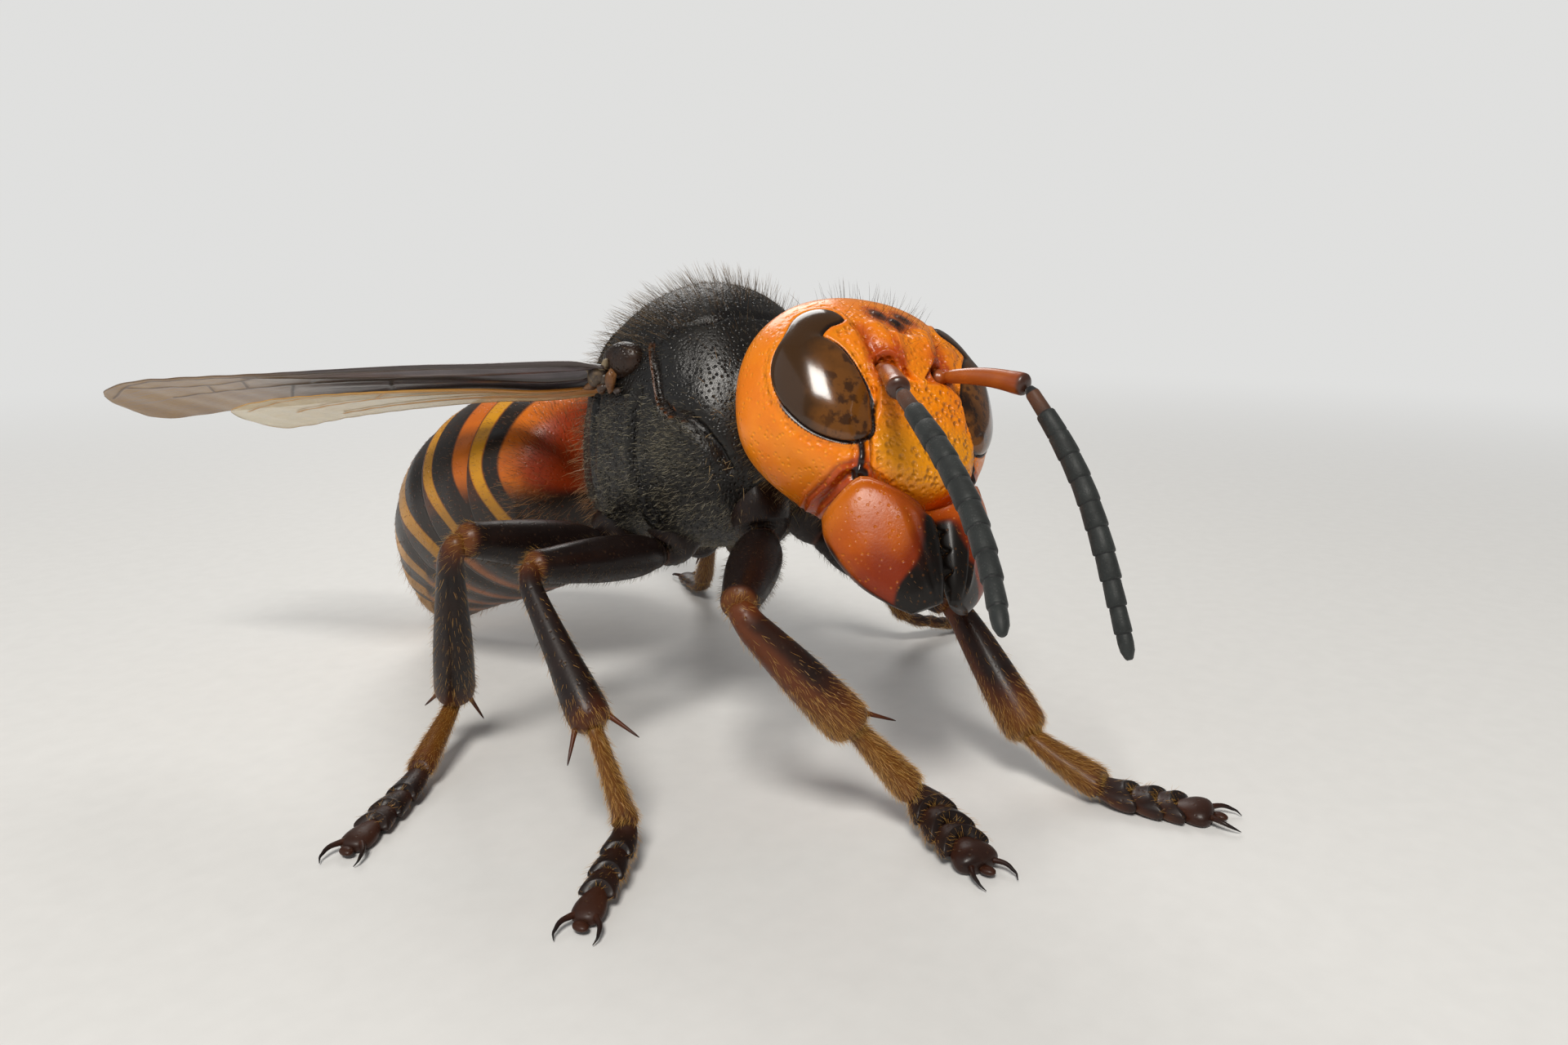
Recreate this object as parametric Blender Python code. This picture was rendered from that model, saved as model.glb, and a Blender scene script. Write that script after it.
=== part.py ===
# A life-size Asian giant hornet, standing on six feet.
# Each part of the body is one closed solid. Sizes are in millimetres and MM turns them
# into metres. The hornet is modelled with X to its right, Y forward and Z up, and is
# turned at the end so that its head points to -Y and its box stands centred on the origin.

import bpy
import bmesh
from math import sin, cos, pi, radians, sqrt, exp
from mathutils import Vector, Matrix

MM = 0.001
GAP = 0.3                    # clearance between touching parts
SIDES = (("right", 1), ("left", -1))

# Posture: how the thorax and the head stand over the floor
THORAX_CENTRE = Vector((0.0, 0.0, 15.24))
THORAX_PITCH = 11.0          # nose up
THORAX_ROLL = -7.2           # right side up
HEAD_CENTRE = Vector((0.71, 9.64, 15.97))
HEAD_YAW = -17.4             # turned to its right
HEAD_PITCH = 28.6
HEAD_ROLL = -10.8

# Head, in its own frame: X to its right, Y towards the face, Z to the crown
HEAD_HALF_WIDTH = 5.2
HEAD_FRONT = 2.75
HEAD_BACK = 4.0
HEAD_CROWN = 5.4
HEAD_CHIN = 4.6
HEAD_SQUARE = 2.35           # exponent of the rounded box
HEAD_RINGS = 28
HEAD_SIDES = 44
SOCKET = Vector((1.25, 0.0, 1.0))
SOCKET_RADIUS = 0.55

# Thorax, in its own frame: station along Y, half width, top, bottom
THORAX_STATIONS = (
    (-6.3, 0.8, -1.9, -3.6),
    (-6.0, 2.0, -0.6, -4.4),
    (-5.5, 3.3, 1.2, -5.0),
    (-4.9, 4.1, 3.3, -5.4),
    (-4.3, 4.5, 4.5, -5.6),
    (-3.4, 4.9, 5.2, -5.8),
    (-2.2, 5.2, 5.75, -6.0),
    (-0.8, 5.4, 6.1, -6.1),
    (0.8, 5.4, 6.15, -6.1),
    (2.2, 5.2, 5.7, -5.8),
    (3.4, 4.8, 4.7, -5.2),
    (4.4, 4.1, 3.4, -4.2),
    (5.2, 3.1, 2.2, -2.9),
    (5.8, 2.1, 1.4, -1.6),
    (6.2, 1.1, 0.9, -0.5),
)
THORAX_SIDES = 32
THORAX_STEPS = 2             # rings between two stations

# Gaster: a curved spine from the waist, and the rings along it
WAIST_END = Vector((0.1, -7.7, -2.9))
GASTER_START_DIP = -17.0
GASTER_END_DIP = 61.0
GASTER_TURN = 3.0            # sideways, towards its left
GASTER_LENGTH = 19.2
GASTER_FLAT = 0.95           # height over width
GASTER_SIDES = 24
GASTER_RADII = (
    (0.0, 1.4), (0.7, 3.6), (1.6, 4.8), (3.9, 5.7), (7.5, 5.95), (11.0, 5.6),
    (14.0, 4.6), (16.8, 3.0), (18.5, 1.6), (19.2, 0.5),
)
GASTER_JOINTS = (0.0, 4.2, 8.1, 11.5, 14.4, 16.8, 19.2)

# Legs: place of the coxa on the thorax, tip of the trochanter, and each length with
# its heading (degrees from forward towards the right) and its rise
FOOT_HEIGHT = 0.24           # centre of the last joint over the floor
LEGS = {
    "fore_right": dict(base=(1.7, 3.6, -3.4), tip=(2.2, 4.2, -6.0), femur=(6.4, 59, -8),
                       tibia=(6.9, -44, -49), first=(4.1, -37, -48), foot=(4.1, 22), size=1.0),
    "mid_right": dict(base=(2.4, -0.4, -4.6), tip=(3.2, -1.2, -6.2), femur=(7.4, 90, 7),
                      tibia=(7.4, 17, -43), first=(4.2, -20, -72), foot=(5.0, 63), size=0.92),
    "hind_right": dict(base=(2.4, -3.9, -4.2), tip=(3.4, -4.8, -5.8), femur=(8.3, 88, 14),
                       tibia=(9.6, -155, -63), first=(5.4, 58, -22), foot=(5.0, 62), size=1.0),
    "fore_left": dict(base=(-1.7, 3.6, -3.4), tip=(-2.2, 4.2, -6.0), femur=(6.4, -22, -24),
                      tibia=(6.9, 8, -47), first=(4.1, -6, -26), foot=(4.1, -16), size=1.0),
    "mid_left": dict(base=(-2.4, -0.4, -4.6), tip=(-3.2, -1.2, -6.2), femur=(7.4, -96, 20),
                     tibia=(7.4, -76, -58), first=(4.2, -74, -52), foot=(5.0, -70), size=0.92),
    "hind_left": dict(base=(-2.4, -3.9, -4.2), tip=(-3.4, -4.8, -5.8), femur=(8.3, -125, 30),
                      tibia=(9.6, -136, -52), first=(5.4, -142, -48), foot=(5.0, -146), size=1.0),
}

# Colours: base colour, roughness
COLOURS = {
    "orange": ((0.78, 0.26, 0.012), 0.32),
    "eye": ((0.055, 0.022, 0.01), 0.12),
    "mandible": ((0.55, 0.11, 0.01), 0.28),
    "scape": ((0.28, 0.06, 0.015), 0.35),
    "flagellum": ((0.03, 0.034, 0.036), 0.7),
    "thorax": ((0.018, 0.014, 0.012), 0.35),
    "tergite": ((0.55, 0.16, 0.02), 0.38),
    "wing": ((0.12, 0.06, 0.035), 0.4),
    "leg": ((0.05, 0.022, 0.012), 0.35),
    "foot": ((0.2, 0.07, 0.02), 0.45),
}


def clear_scene():
    for obj in list(bpy.data.objects):
        bpy.data.objects.remove(obj, do_unlink=True)


def make_materials():
    made = {}
    for name, (colour, roughness) in COLOURS.items():
        mat = bpy.data.materials.new("hornet_" + name)
        mat.use_nodes = True
        shader = mat.node_tree.nodes["Principled BSDF"]
        shader.inputs["Base Color"].default_value = (*colour, 1.0)
        shader.inputs["Roughness"].default_value = roughness
        shader.inputs["Metallic"].default_value = 0.0
        made[name] = mat
    return made


def turn(yaw, pitch, roll):
    """Rotation from a body frame to the floor frame."""
    about_z = Matrix.Rotation(radians(yaw), 3, "Z")
    about_x = Matrix.Rotation(radians(pitch), 3, "X")
    about_y = Matrix.Rotation(radians(roll), 3, "Y")
    return about_z @ about_x @ about_y


def body_frame(centre, rotation):
    return Matrix.Translation(centre) @ rotation.to_4x4()


THORAX = body_frame(THORAX_CENTRE, turn(0.0, THORAX_PITCH, THORAX_ROLL))
HEAD = body_frame(HEAD_CENTRE, turn(HEAD_YAW, HEAD_PITCH, HEAD_ROLL))


def direction(heading, rise):
    """Unit vector, heading in degrees from forward towards the right, rise from level."""
    level = cos(radians(rise))
    return Vector((level * sin(radians(heading)), level * cos(radians(heading)), sin(radians(rise))))


def smooth_step(low, high, x):
    t = min(1.0, max(0.0, (x - low) / (high - low)))
    return t * t * (3.0 - 2.0 * t)


def bump(distance, width):
    return exp(-(distance / width) ** 2)


def table(rows, x, column=1):
    """Smooth curve through the rows of a short table, by their first number."""
    if x <= rows[0][0]:
        return rows[0][column]
    for i in range(len(rows) - 1):
        if x <= rows[i + 1][0]:
            before = rows[max(0, i - 1)]
            start, end = rows[i], rows[i + 1]
            after = rows[min(len(rows) - 1, i + 2)]
            span = end[0] - start[0]
            t = (x - start[0]) / span
            slope_in = (end[column] - before[column]) / max(1e-6, end[0] - before[0]) * span
            slope_out = (after[column] - start[column]) / max(1e-6, after[0] - start[0]) * span
            a = 2 * t ** 3 - 3 * t ** 2 + 1
            b = t ** 3 - 2 * t ** 2 + t
            c = -2 * t ** 3 + 3 * t ** 2
            d = t ** 3 - t ** 2
            return a * start[column] + b * slope_in + c * end[column] + d * slope_out
    return rows[-1][column]


def solid(name, points, faces, material, frame=Matrix.Identity(4)):
    """Closed, triangulated mesh object from points in millimetres."""
    mesh = bpy.data.meshes.new(name)
    bm = bmesh.new()
    verts = [bm.verts.new((frame @ Vector(p)) * MM) for p in points]
    for face in faces:
        bm.faces.new([verts[i] for i in face])
    bmesh.ops.triangulate(bm, faces=bm.faces[:])
    bmesh.ops.recalc_face_normals(bm, faces=bm.faces[:])
    bm.to_mesh(mesh)
    bm.free()
    obj = bpy.data.objects.new(name, mesh)
    obj.data.materials.append(material)
    hornet.objects.link(obj)
    return obj


def loft(rings, poles=None):
    """Points and faces of a skin over equal rings, closed by a point at each end."""
    sides = len(rings[0])
    points = [p for ring in rings for p in ring]
    faces = []
    for i in range(len(rings) - 1):
        for j in range(sides):
            k = (j + 1) % sides
            faces.append((i * sides + j, i * sides + k, (i + 1) * sides + k, (i + 1) * sides + j))
    if poles is None:
        poles = tuple(sum(ring, Vector()) / sides for ring in (rings[0], rings[-1]))
    for pole, first, flip in ((poles[0], 0, True), (poles[1], (len(rings) - 1) * sides, False)):
        points.append(Vector(pole))
        tip = len(points) - 1
        for j in range(sides):
            k = (j + 1) % sides
            pair = (first + k, first + j) if flip else (first + j, first + k)
            faces.append((*pair, tip))
    return points, faces


def path_point(points, s, soften):
    """Place on a polyline at length s, with its corners rounded over a length."""
    lengths = [(b - a).length for a, b in zip(points, points[1:])]
    total = sum(lengths)
    reach = min(soften, s, total - s)

    def at(distance):
        for a, b, length in zip(points, points[1:], lengths):
            if distance <= length:
                return a.lerp(b, distance / length)
            distance -= length
        return points[-1].copy()

    samples = [at(min(total, max(0.0, s + reach * k / 3.0))) for k in range(-3, 4)]
    return sum(samples, Vector()) / len(samples)


def tube_rings(points, profile, sides, soften=0.8, upright=Vector((0, 0, 1)), flat=1.0):
    """Rings along a soft polyline. The profile gives (share of the length, radius)."""
    total = sum((b - a).length for a, b in zip(points, points[1:]))
    rings = []
    for share, radius in profile:
        s = share * total
        here = path_point(points, s, soften)
        ahead = path_point(points, min(total, s + 0.15), soften)
        behind = path_point(points, max(0.0, s - 0.15), soften)
        along = (ahead - behind).normalized()
        across = along.cross(upright).normalized()
        over = across.cross(along)
        rings.append([here + across * (radius * cos(a)) + over * (radius * flat * sin(a))
                      for a in (2 * pi * j / sides for j in range(sides))])
    return rings


def clearance(obj, gap=GAP):
    """Copy of an object that is larger by the gap on every side, to cut with."""
    mesh = obj.data.copy()
    bm = bmesh.new()
    bm.from_mesh(mesh)
    bm.normal_update()
    moves = [(v, v.normal * gap * MM) for v in bm.verts]
    for v, move in moves:
        v.co += move
    bm.to_mesh(mesh)
    bm.free()
    cutter = bpy.data.objects.new(obj.name + "_clearance", mesh)
    cutters.objects.link(cutter)
    cutter.hide_render = True
    cutter.display_type = "WIRE"
    return cutter


def keep_largest(mesh):
    """Leave only the largest closed surface of a mesh."""
    bm = bmesh.new()
    bm.from_mesh(mesh)
    bmesh.ops.remove_doubles(bm, verts=bm.verts[:], dist=1e-6)
    bmesh.ops.dissolve_degenerate(bm, edges=bm.edges[:], dist=2e-6)
    bmesh.ops.triangulate(bm, faces=bm.faces[:])
    unseen = set(bm.faces)
    groups = []
    while unseen:
        front = [unseen.pop()]
        group = set(front)
        while front:
            for edge in front.pop().edges:
                for face in edge.link_faces:
                    if face in unseen:
                        unseen.discard(face)
                        group.add(face)
                        front.append(face)
        groups.append(group)

    def volume(group):
        return abs(sum(f.verts[0].co.dot(f.verts[1].co.cross(f.verts[2].co)) for f in group))

    largest = max(groups, key=volume)
    spare = [f for f in bm.faces if f not in largest]
    bmesh.ops.delete(bm, geom=spare, context="FACES")
    bm.to_mesh(mesh)
    bm.free()


def apply_modifiers(obj):
    evaluated = obj.evaluated_get(bpy.context.evaluated_depsgraph_get())
    mesh = bpy.data.meshes.new_from_object(evaluated)
    obj.modifiers.clear()
    old = obj.data
    obj.data = mesh
    bpy.data.meshes.remove(old)
    mesh.name = obj.name


def cut(obj, *others, gap=GAP, solver="EXACT"):
    """Cut an object clear of its neighbours."""
    for other in others:
        cutter = clearance(other, gap)
        mod = obj.modifiers.new("clear of " + other.name, "BOOLEAN")
        mod.operation = "DIFFERENCE"
        mod.solver = solver
        mod.object = cutter
    bpy.context.view_layer.update()
    apply_modifiers(obj)
    keep_largest(obj.data)
    for cutter in list(cutters.objects):
        bpy.data.objects.remove(cutter, do_unlink=True)


def fuse(obj, pieces):
    """Join closed pieces to an object with one union."""
    group = bpy.data.collections.new(obj.name + "_pieces")
    bpy.context.scene.collection.children.link(group)
    for piece in pieces:
        hornet.objects.unlink(piece)
        group.objects.link(piece)
    mod = obj.modifiers.new("join", "BOOLEAN")
    mod.operation = "UNION"
    mod.solver = "EXACT"
    mod.operand_type = "COLLECTION"
    mod.collection = group
    bpy.context.view_layer.update()
    apply_modifiers(obj)
    keep_largest(obj.data)
    for piece in pieces:
        bpy.data.objects.remove(piece, do_unlink=True)
    bpy.data.collections.remove(group)


def level_on_floor(obj):
    """Trim what reaches below the floor to a small flat."""
    bm = bmesh.new()
    bm.from_mesh(obj.data)
    geom = bm.verts[:] + bm.edges[:] + bm.faces[:]
    bmesh.ops.bisect_plane(bm, geom=geom, plane_co=(0, 0, 0), plane_no=(0, 0, 1),
                           dist=1e-6, clear_inner=True)
    rim = [e for e in bm.edges if e.is_boundary]
    if rim:
        bmesh.ops.holes_fill(bm, edges=rim, sides=0)
        bmesh.ops.triangulate(bm, faces=bm.faces[:])
        bmesh.ops.recalc_face_normals(bm, faces=bm.faces[:])
    bm.to_mesh(obj.data)
    bm.free()


# The head: a rounded box that narrows to the jaws, with its forms raised on it
def head_point(toward):
    """Surface point of the head seen from its centre in a direction."""
    d = Vector(toward).normalized()
    depth = HEAD_FRONT if d.y > 0 else HEAD_BACK
    height = HEAD_CROWN if d.z > 0 else HEAD_CHIN
    scale = (abs(d.x / HEAD_HALF_WIDTH) ** HEAD_SQUARE + abs(d.y / depth) ** HEAD_SQUARE
             + abs(d.z / height) ** HEAD_SQUARE) ** (-1.0 / HEAD_SQUARE)
    p = d * scale
    # the cheeks swell behind the eyes, and the crown is highest behind the small eyes
    p.x *= 1.0 + 0.19 * bump(p.y + 2.3, 2.1) - 0.05 * smooth_step(0.3, 2.2, p.y)
    p.z += 0.25 * smooth_step(0.5, 4.0, p.z) * bump(p.y + 1.3, 2.3)
    side = abs(p.x)
    # the head is widest above the jaws and the face is flatter than the cheeks
    narrow = smooth_step(0.5, -4.6, p.z)
    p.x *= 1.0 - 0.24 * narrow ** 1.5
    p.y += 0.55 * smooth_step(-1.0, -4.2, p.z) * (1.0 if d.y > 0 else 0.4)
    if d.y > 0:
        p.y -= 0.5 * smooth_step(2.2, 4.75, p.z)
        # clypeus: a shield that rises from the face and overhangs the jaws
        half = 1.1 + 1.7 * smooth_step(0.2, -2.6, p.z) - 1.6 * smooth_step(-3.0, -4.6, p.z)
        inside = smooth_step(half + 0.35, half - 0.35, side)
        p.y += 0.5 * inside * smooth_step(0.9, -0.6, p.z)
        # raised shield between the feelers, with a groove up to the small eyes
        p.y += 0.35 * bump(side, 1.0) * bump(p.z - 1.5, 1.2)
        p.y -= 0.16 * bump(side, 0.25) * smooth_step(1.2, 2.2, p.z) * smooth_step(4.2, 3.4, p.z)
        pit = sqrt((side - SOCKET.x) ** 2 + (p.z - SOCKET.z) ** 2)
        p.y -= 0.5 * bump(pit, SOCKET_RADIUS)
    else:
        # hollow back of the head over the neck
        hollow = sqrt((p.x / 3.6) ** 2 + ((p.z - 0.3) / 3.2) ** 2)
        p.y += 1.9 * smooth_step(1.15, 0.2, hollow)
    for eye_x, eye_y in ((0.0, 1.15), (0.62, 0.5), (-0.62, 0.5)):
        if p.z > 3.0:
            p.z += 0.16 * bump(sqrt((p.x - eye_x) ** 2 + (p.y - eye_y) ** 2), 0.3)
    return p


def make_head(material):
    rings = []
    for i in range(1, HEAD_RINGS):
        polar = pi * i / HEAD_RINGS
        rings.append([head_point((sin(polar) * cos(a), -cos(polar), sin(polar) * sin(a)))
                      for a in (2 * pi * j / HEAD_SIDES for j in range(HEAD_SIDES))])
    poles = (head_point((0, -1, 0)), head_point((0, 1, 0)))
    return solid("head", *loft(rings, poles), material, HEAD)


# The compound eyes: a bean along each side of the face, notched beside the feelers
EYE_SPINE = (
    (0.00, 2.52, 1.90, 3.20, 0.12),
    (0.07, 2.85, 1.65, 3.32, 0.46),
    (0.19, 3.50, 1.45, 3.13, 0.54),
    (0.33, 4.08, 1.38, 2.50, 0.56),
    (0.45, 4.15, 1.45, 1.70, 0.86),
    (0.60, 3.85, 1.65, 0.85, 1.38),
    (0.76, 3.42, 1.95, -0.35, 1.46),
    (0.89, 3.10, 2.08, -1.25, 1.08),
    (0.97, 2.75, 2.30, -1.85, 0.48),
    (1.00, 2.60, 2.40, -2.05, 0.10),
)
EYE_BULGE = 0.36
EYE_DEPTH = 0.7
EYE_SEAT = 4.5               # distance from the head's centre to its side
EYE_RINGS = 12
EYE_SIDES = 10


def eye_rings(side):
    rings = []
    for i in range(EYE_RINGS):
        t = 0.5 - 0.5 * cos(pi * i / (EYE_RINGS - 1))
        near = [Vector([table(EYE_SPINE, u, c) for c in (1, 2, 3)]) for u in (t - 0.02, t, t + 0.02)]
        along = (near[2] - near[0]).normalized()
        out = head_point(near[1]).normalized()
        across = along.cross(out).normalized()
        half = table(EYE_SPINE, t, 4)
        ring = []
        for j in range(EYE_SIDES):
            a = 2 * pi * j / EYE_SIDES
            seat = head_point(near[1].normalized() * EYE_SEAT + across * (half * cos(a)))
            reach = EYE_BULGE if sin(a) > 0 else EYE_DEPTH
            p = seat + out * (reach * sin(a) * min(1.0, half))
            ring.append(Vector((side * p.x, p.y, p.z)))
        rings.append(ring)
    return rings


def make_eye(name, side, material):
    return solid(name, *loft(eye_rings(side)), material, HEAD)


# The jaws: broad plates below the face that meet on the midline
MANDIBLE_SECTIONS = (
    (0.00, 1.98, 1.30, -3.85, 1.95, 1.20),
    (0.18, 1.95, 1.45, -4.70, 2.05, 1.15),
    (0.45, 1.80, 1.70, -5.90, 1.95, 0.95),
    (0.72, 1.47, 1.95, -7.10, 1.60, 0.72),
    (0.90, 1.08, 2.15, -8.00, 1.10, 0.50),
    (1.00, 0.75, 2.25, -8.60, 0.62, 0.25),
)
MANDIBLE_SWEEP = 32.0        # the outer edge is set back
MANDIBLE_RINGS = 8
MANDIBLE_SIDES = 12


def make_mandible(name, side, material):
    sweep = radians(MANDIBLE_SWEEP)
    rings = []
    for i in range(MANDIBLE_RINGS):
        t = i / (MANDIBLE_RINGS - 1)
        x, y, z, wide, thick = (table(MANDIBLE_SECTIONS, t, c) for c in range(1, 6))
        ring = []
        for j in range(MANDIBLE_SIDES):
            a = 2 * pi * j / MANDIBLE_SIDES
            u = wide * abs(cos(a)) ** 0.75 * (1 if cos(a) > 0 else -1)
            v = thick * abs(sin(a)) ** 0.85 * (1 if sin(a) > 0 else -1)
            px = max(0.17, x + u * cos(sweep) + v * sin(sweep))
            ring.append(Vector((side * px, y - u * sin(sweep) + v * cos(sweep), z - 0.25 * u)))
        rings.append(ring)
    return solid(name, *loft(rings), material, HEAD)


# The feelers: a long bent first joint and a whip of eleven short ones
FEELER_JOINTS = 11
ANTENNAE = {
    "right": dict(root=(1.25, 2.55, 1.0), knee=(3.6, 6.1, -1.7),
                  whip=((3.9, 8.5, -5.4), (4.15, 9.8, -8.5), (5.0, 10.8, -11.6))),
    "left": dict(root=(-1.25, 2.55, 1.0), knee=(-2.52, 6.16, -0.81),
                 whip=((-3.38, 6.9, -3.9), (-3.7, 7.2, -6.9), (-4.14, 6.98, -11.6))),
}
SCAPE_PROFILE = ((0.0, 0.24), (0.08, 0.34), (0.16, 0.28), (0.3, 0.36), (0.7, 0.44), (0.92, 0.46),
                 (1.0, 0.3))


def make_antenna(side, materials):
    spec = ANTENNAE[side]
    root, knee = Vector(spec["root"]), Vector(spec["knee"])
    rise = Vector((0, 0, 0.35))
    scape_line = [root, root.lerp(knee, 0.5) + rise, knee]
    scape = solid("scape_" + side, *loft(tube_rings(scape_line, SCAPE_PROFILE, 10, 1.2)),
                  materials["scape"], HEAD)
    line = [knee] + [Vector(p) for p in spec["whip"]]
    profile = [(0.035, 0.22)]
    for k in range(FEELER_JOINTS):
        start = 0.05 + 0.95 * k / FEELER_JOINTS
        end = 0.05 + 0.95 * (k + 1) / FEELER_JOINTS
        radius = 0.30 + 0.16 * smooth_step(0, 1, k / 1.5) - 0.15 * smooth_step(5, 11, k)
        if k == FEELER_JOINTS - 1:
            profile += [(start, radius * 0.86), (start * 0.5 + end * 0.5, radius * 0.85), (end, 0.14)]
        else:
            profile += [(start, radius * 0.86), (end - 0.006, radius)]
    whip = solid("flagellum_" + side, *loft(tube_rings(line, profile, 8, 1.6)),
                 materials["flagellum"], HEAD)
    return scape, whip


# The thorax: rings along the body, grooved where its plates meet
def thorax_point(y, angle):
    """Surface point at a station and an angle, 0 at its right and 90 at the top."""
    half, top, bottom = (table(THORAX_STATIONS, y, c) for c in (1, 2, 3))
    middle = 0.62 * bottom + 0.38 * top
    high = top - middle if sin(angle) > 0 else middle - bottom
    exponent = 2.25
    power = (abs(cos(angle)) ** exponent + abs(sin(angle)) ** exponent) ** (-1 / exponent)
    x = half * power * cos(angle)
    z = middle + high * power * sin(angle)
    up = sin(angle)
    side = abs(cos(angle))
    # the collar plate sweeps back to the wing roots
    collar = 3.9 - 4.3 * side ** 1.5
    depth = 0.2 * bump(y - collar, 0.28) * smooth_step(-0.1, 0.3, up)
    # the shield behind the back plate, and the narrow plate after it
    depth += 0.3 * bump(y + 2.9 + 0.5 * side, 0.3) * smooth_step(0.3, 0.6, up)
    depth += 0.25 * bump(y + 4.5, 0.25) * smooth_step(0.1, 0.4, up)
    # side seam and the groove over the legs
    depth += 0.22 * bump(y - 2.4 - 0.6 * up, 0.35) * smooth_step(0.35, 0.0, abs(up + 0.2)) * side
    shrink = 1.0 - depth / max(2.0, sqrt(x * x + (z - middle) ** 2))
    return Vector((x * shrink, y, middle + (z - middle) * shrink))


def make_thorax(material):
    rings = []
    for start, end in zip(THORAX_STATIONS, THORAX_STATIONS[1:]):
        for k in range(THORAX_STEPS):
            y = start[0] + (end[0] - start[0]) * k / THORAX_STEPS
            rings.append([thorax_point(y, 2 * pi * j / THORAX_SIDES) for j in range(THORAX_SIDES)])
    y = THORAX_STATIONS[-1][0]
    rings.append([thorax_point(y, 2 * pi * j / THORAX_SIDES) for j in range(THORAX_SIDES)])
    return solid("thorax", *loft(rings), material, THORAX)


def make_neck(material):
    start = HEAD @ Vector((0.0, -1.2, 0.2))
    end = THORAX @ Vector((0.0, 5.6, 0.3))
    profile = ((0.0, 0.8), (0.5, 0.95), (1.0, 0.9))
    return solid("neck", *loft(tube_rings([start, end], profile, 12)), material)


def make_waist(material):
    start = Vector((0.0, -5.6, -2.7))
    end = WAIST_END + Vector((0.0, -0.6, -0.05))
    profile = ((0.0, 0.75), (0.4, 0.7), (0.7, 0.8), (1.0, 0.95))
    return solid("waist", *loft(tube_rings([start, end], profile, 12)), material, THORAX)


TEGULA_CENTRE = Vector((5.0, -0.7, 2.9))
TEGULA_SIZE = Vector((0.75, 1.25, 0.95))


def make_tegula(name, side, material):
    rings = []
    for i in range(1, 6):
        polar = pi * i / 6
        ring = []
        for j in range(10):
            a = 2 * pi * j / 10
            d = Vector((TEGULA_SIZE.x * sin(polar) * cos(a), -TEGULA_SIZE.y * cos(polar),
                        TEGULA_SIZE.z * sin(polar) * sin(a)))
            ring.append(Vector((side * (TEGULA_CENTRE.x + d.x), TEGULA_CENTRE.y + d.y,
                                TEGULA_CENTRE.z + d.z)))
        rings.append(ring)
    return solid(name, *loft(rings), material, THORAX)


# The gaster: six rings that sleeve into each other along a falling curve
def gaster_place(s):
    """Centre and direction of the gaster's spine, a length behind the waist."""
    steps = 40
    here = WAIST_END.copy()
    step = s / steps
    yaw = radians(GASTER_TURN)
    for k in range(steps):
        share = (k + 0.5) * step / GASTER_LENGTH
        dip = radians(GASTER_START_DIP + (GASTER_END_DIP - GASTER_START_DIP) * share)
        here += Vector((-sin(yaw) * cos(dip), -cos(yaw) * cos(dip), -sin(dip))) * step
    share = s / GASTER_LENGTH
    dip = radians(GASTER_START_DIP + (GASTER_END_DIP - GASTER_START_DIP) * share)
    along = Vector((-sin(yaw) * cos(dip), -cos(yaw) * cos(dip), -sin(dip)))
    return here, along


def gaster_ring(s, shrink=0.0):
    centre, along = gaster_place(s)
    across = along.cross(Vector((0, 0, 1))).normalized()
    over = across.cross(along)
    radius = max(0.15, table(GASTER_RADII, s) - shrink)
    return [centre + across * (radius * cos(a)) + over * (radius * GASTER_FLAT * sin(a))
            for a in (2 * pi * j / GASTER_SIDES for j in range(GASTER_SIDES))]


def make_gaster(material):
    made = []
    last = len(GASTER_JOINTS) - 2
    for k, (start, end) in enumerate(zip(GASTER_JOINTS, GASTER_JOINTS[1:])):
        if k == 0:
            stations = [(0.0, 0.0), (0.35, 0.0), (0.8, 0.0), (1.7, 0.0), (3.0, 0.0), (end - GAP, 0.0)]
        else:
            middle = (start + end) / 2
            stations = [(start, 0.22), (start + 0.5, 0.08), (middle, 0.0), (end - GAP, 0.0)]
        if k == last:
            stations[-1] = (GASTER_LENGTH - 0.7, 0.0)
            stations.append((GASTER_LENGTH, 0.0))
        rings = [gaster_ring(s, shrink) for s, shrink in stations]
        made.append(solid("gaster_%d" % (k + 1), *loft(rings), material, THORAX))
    return made


# The wings: thin blades with their veins raised along them
WING_THICKNESS = 0.5
WINGS = {
    "forewing": dict(root=(5.35, -1.5, 2.1), sweep=20.7, fall=3.7, tilt=14.0, length=29.0,
                     chord=((0.0, 1.1), (0.08, 1.9), (0.3, 3.6), (0.6, 4.6), (0.8, 5.0), (0.93, 3.8),
                            (1.0, 1.4)),
                     veins=(0.06, 0.3, 0.55, 0.8), spans=18, strips=8),
    "hindwing": dict(root=(5.0, -2.5, 0.75), sweep=24.0, fall=1.4, tilt=16.0, length=19.5,
                     chord=((0.0, 0.9), (0.15, 1.8), (0.45, 3.8), (0.75, 4.2), (0.92, 2.8), (1.0, 1.0)),
                     veins=(0.08, 0.45), spans=12, strips=5),
}
VEIN_RISE = 0.12


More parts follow.
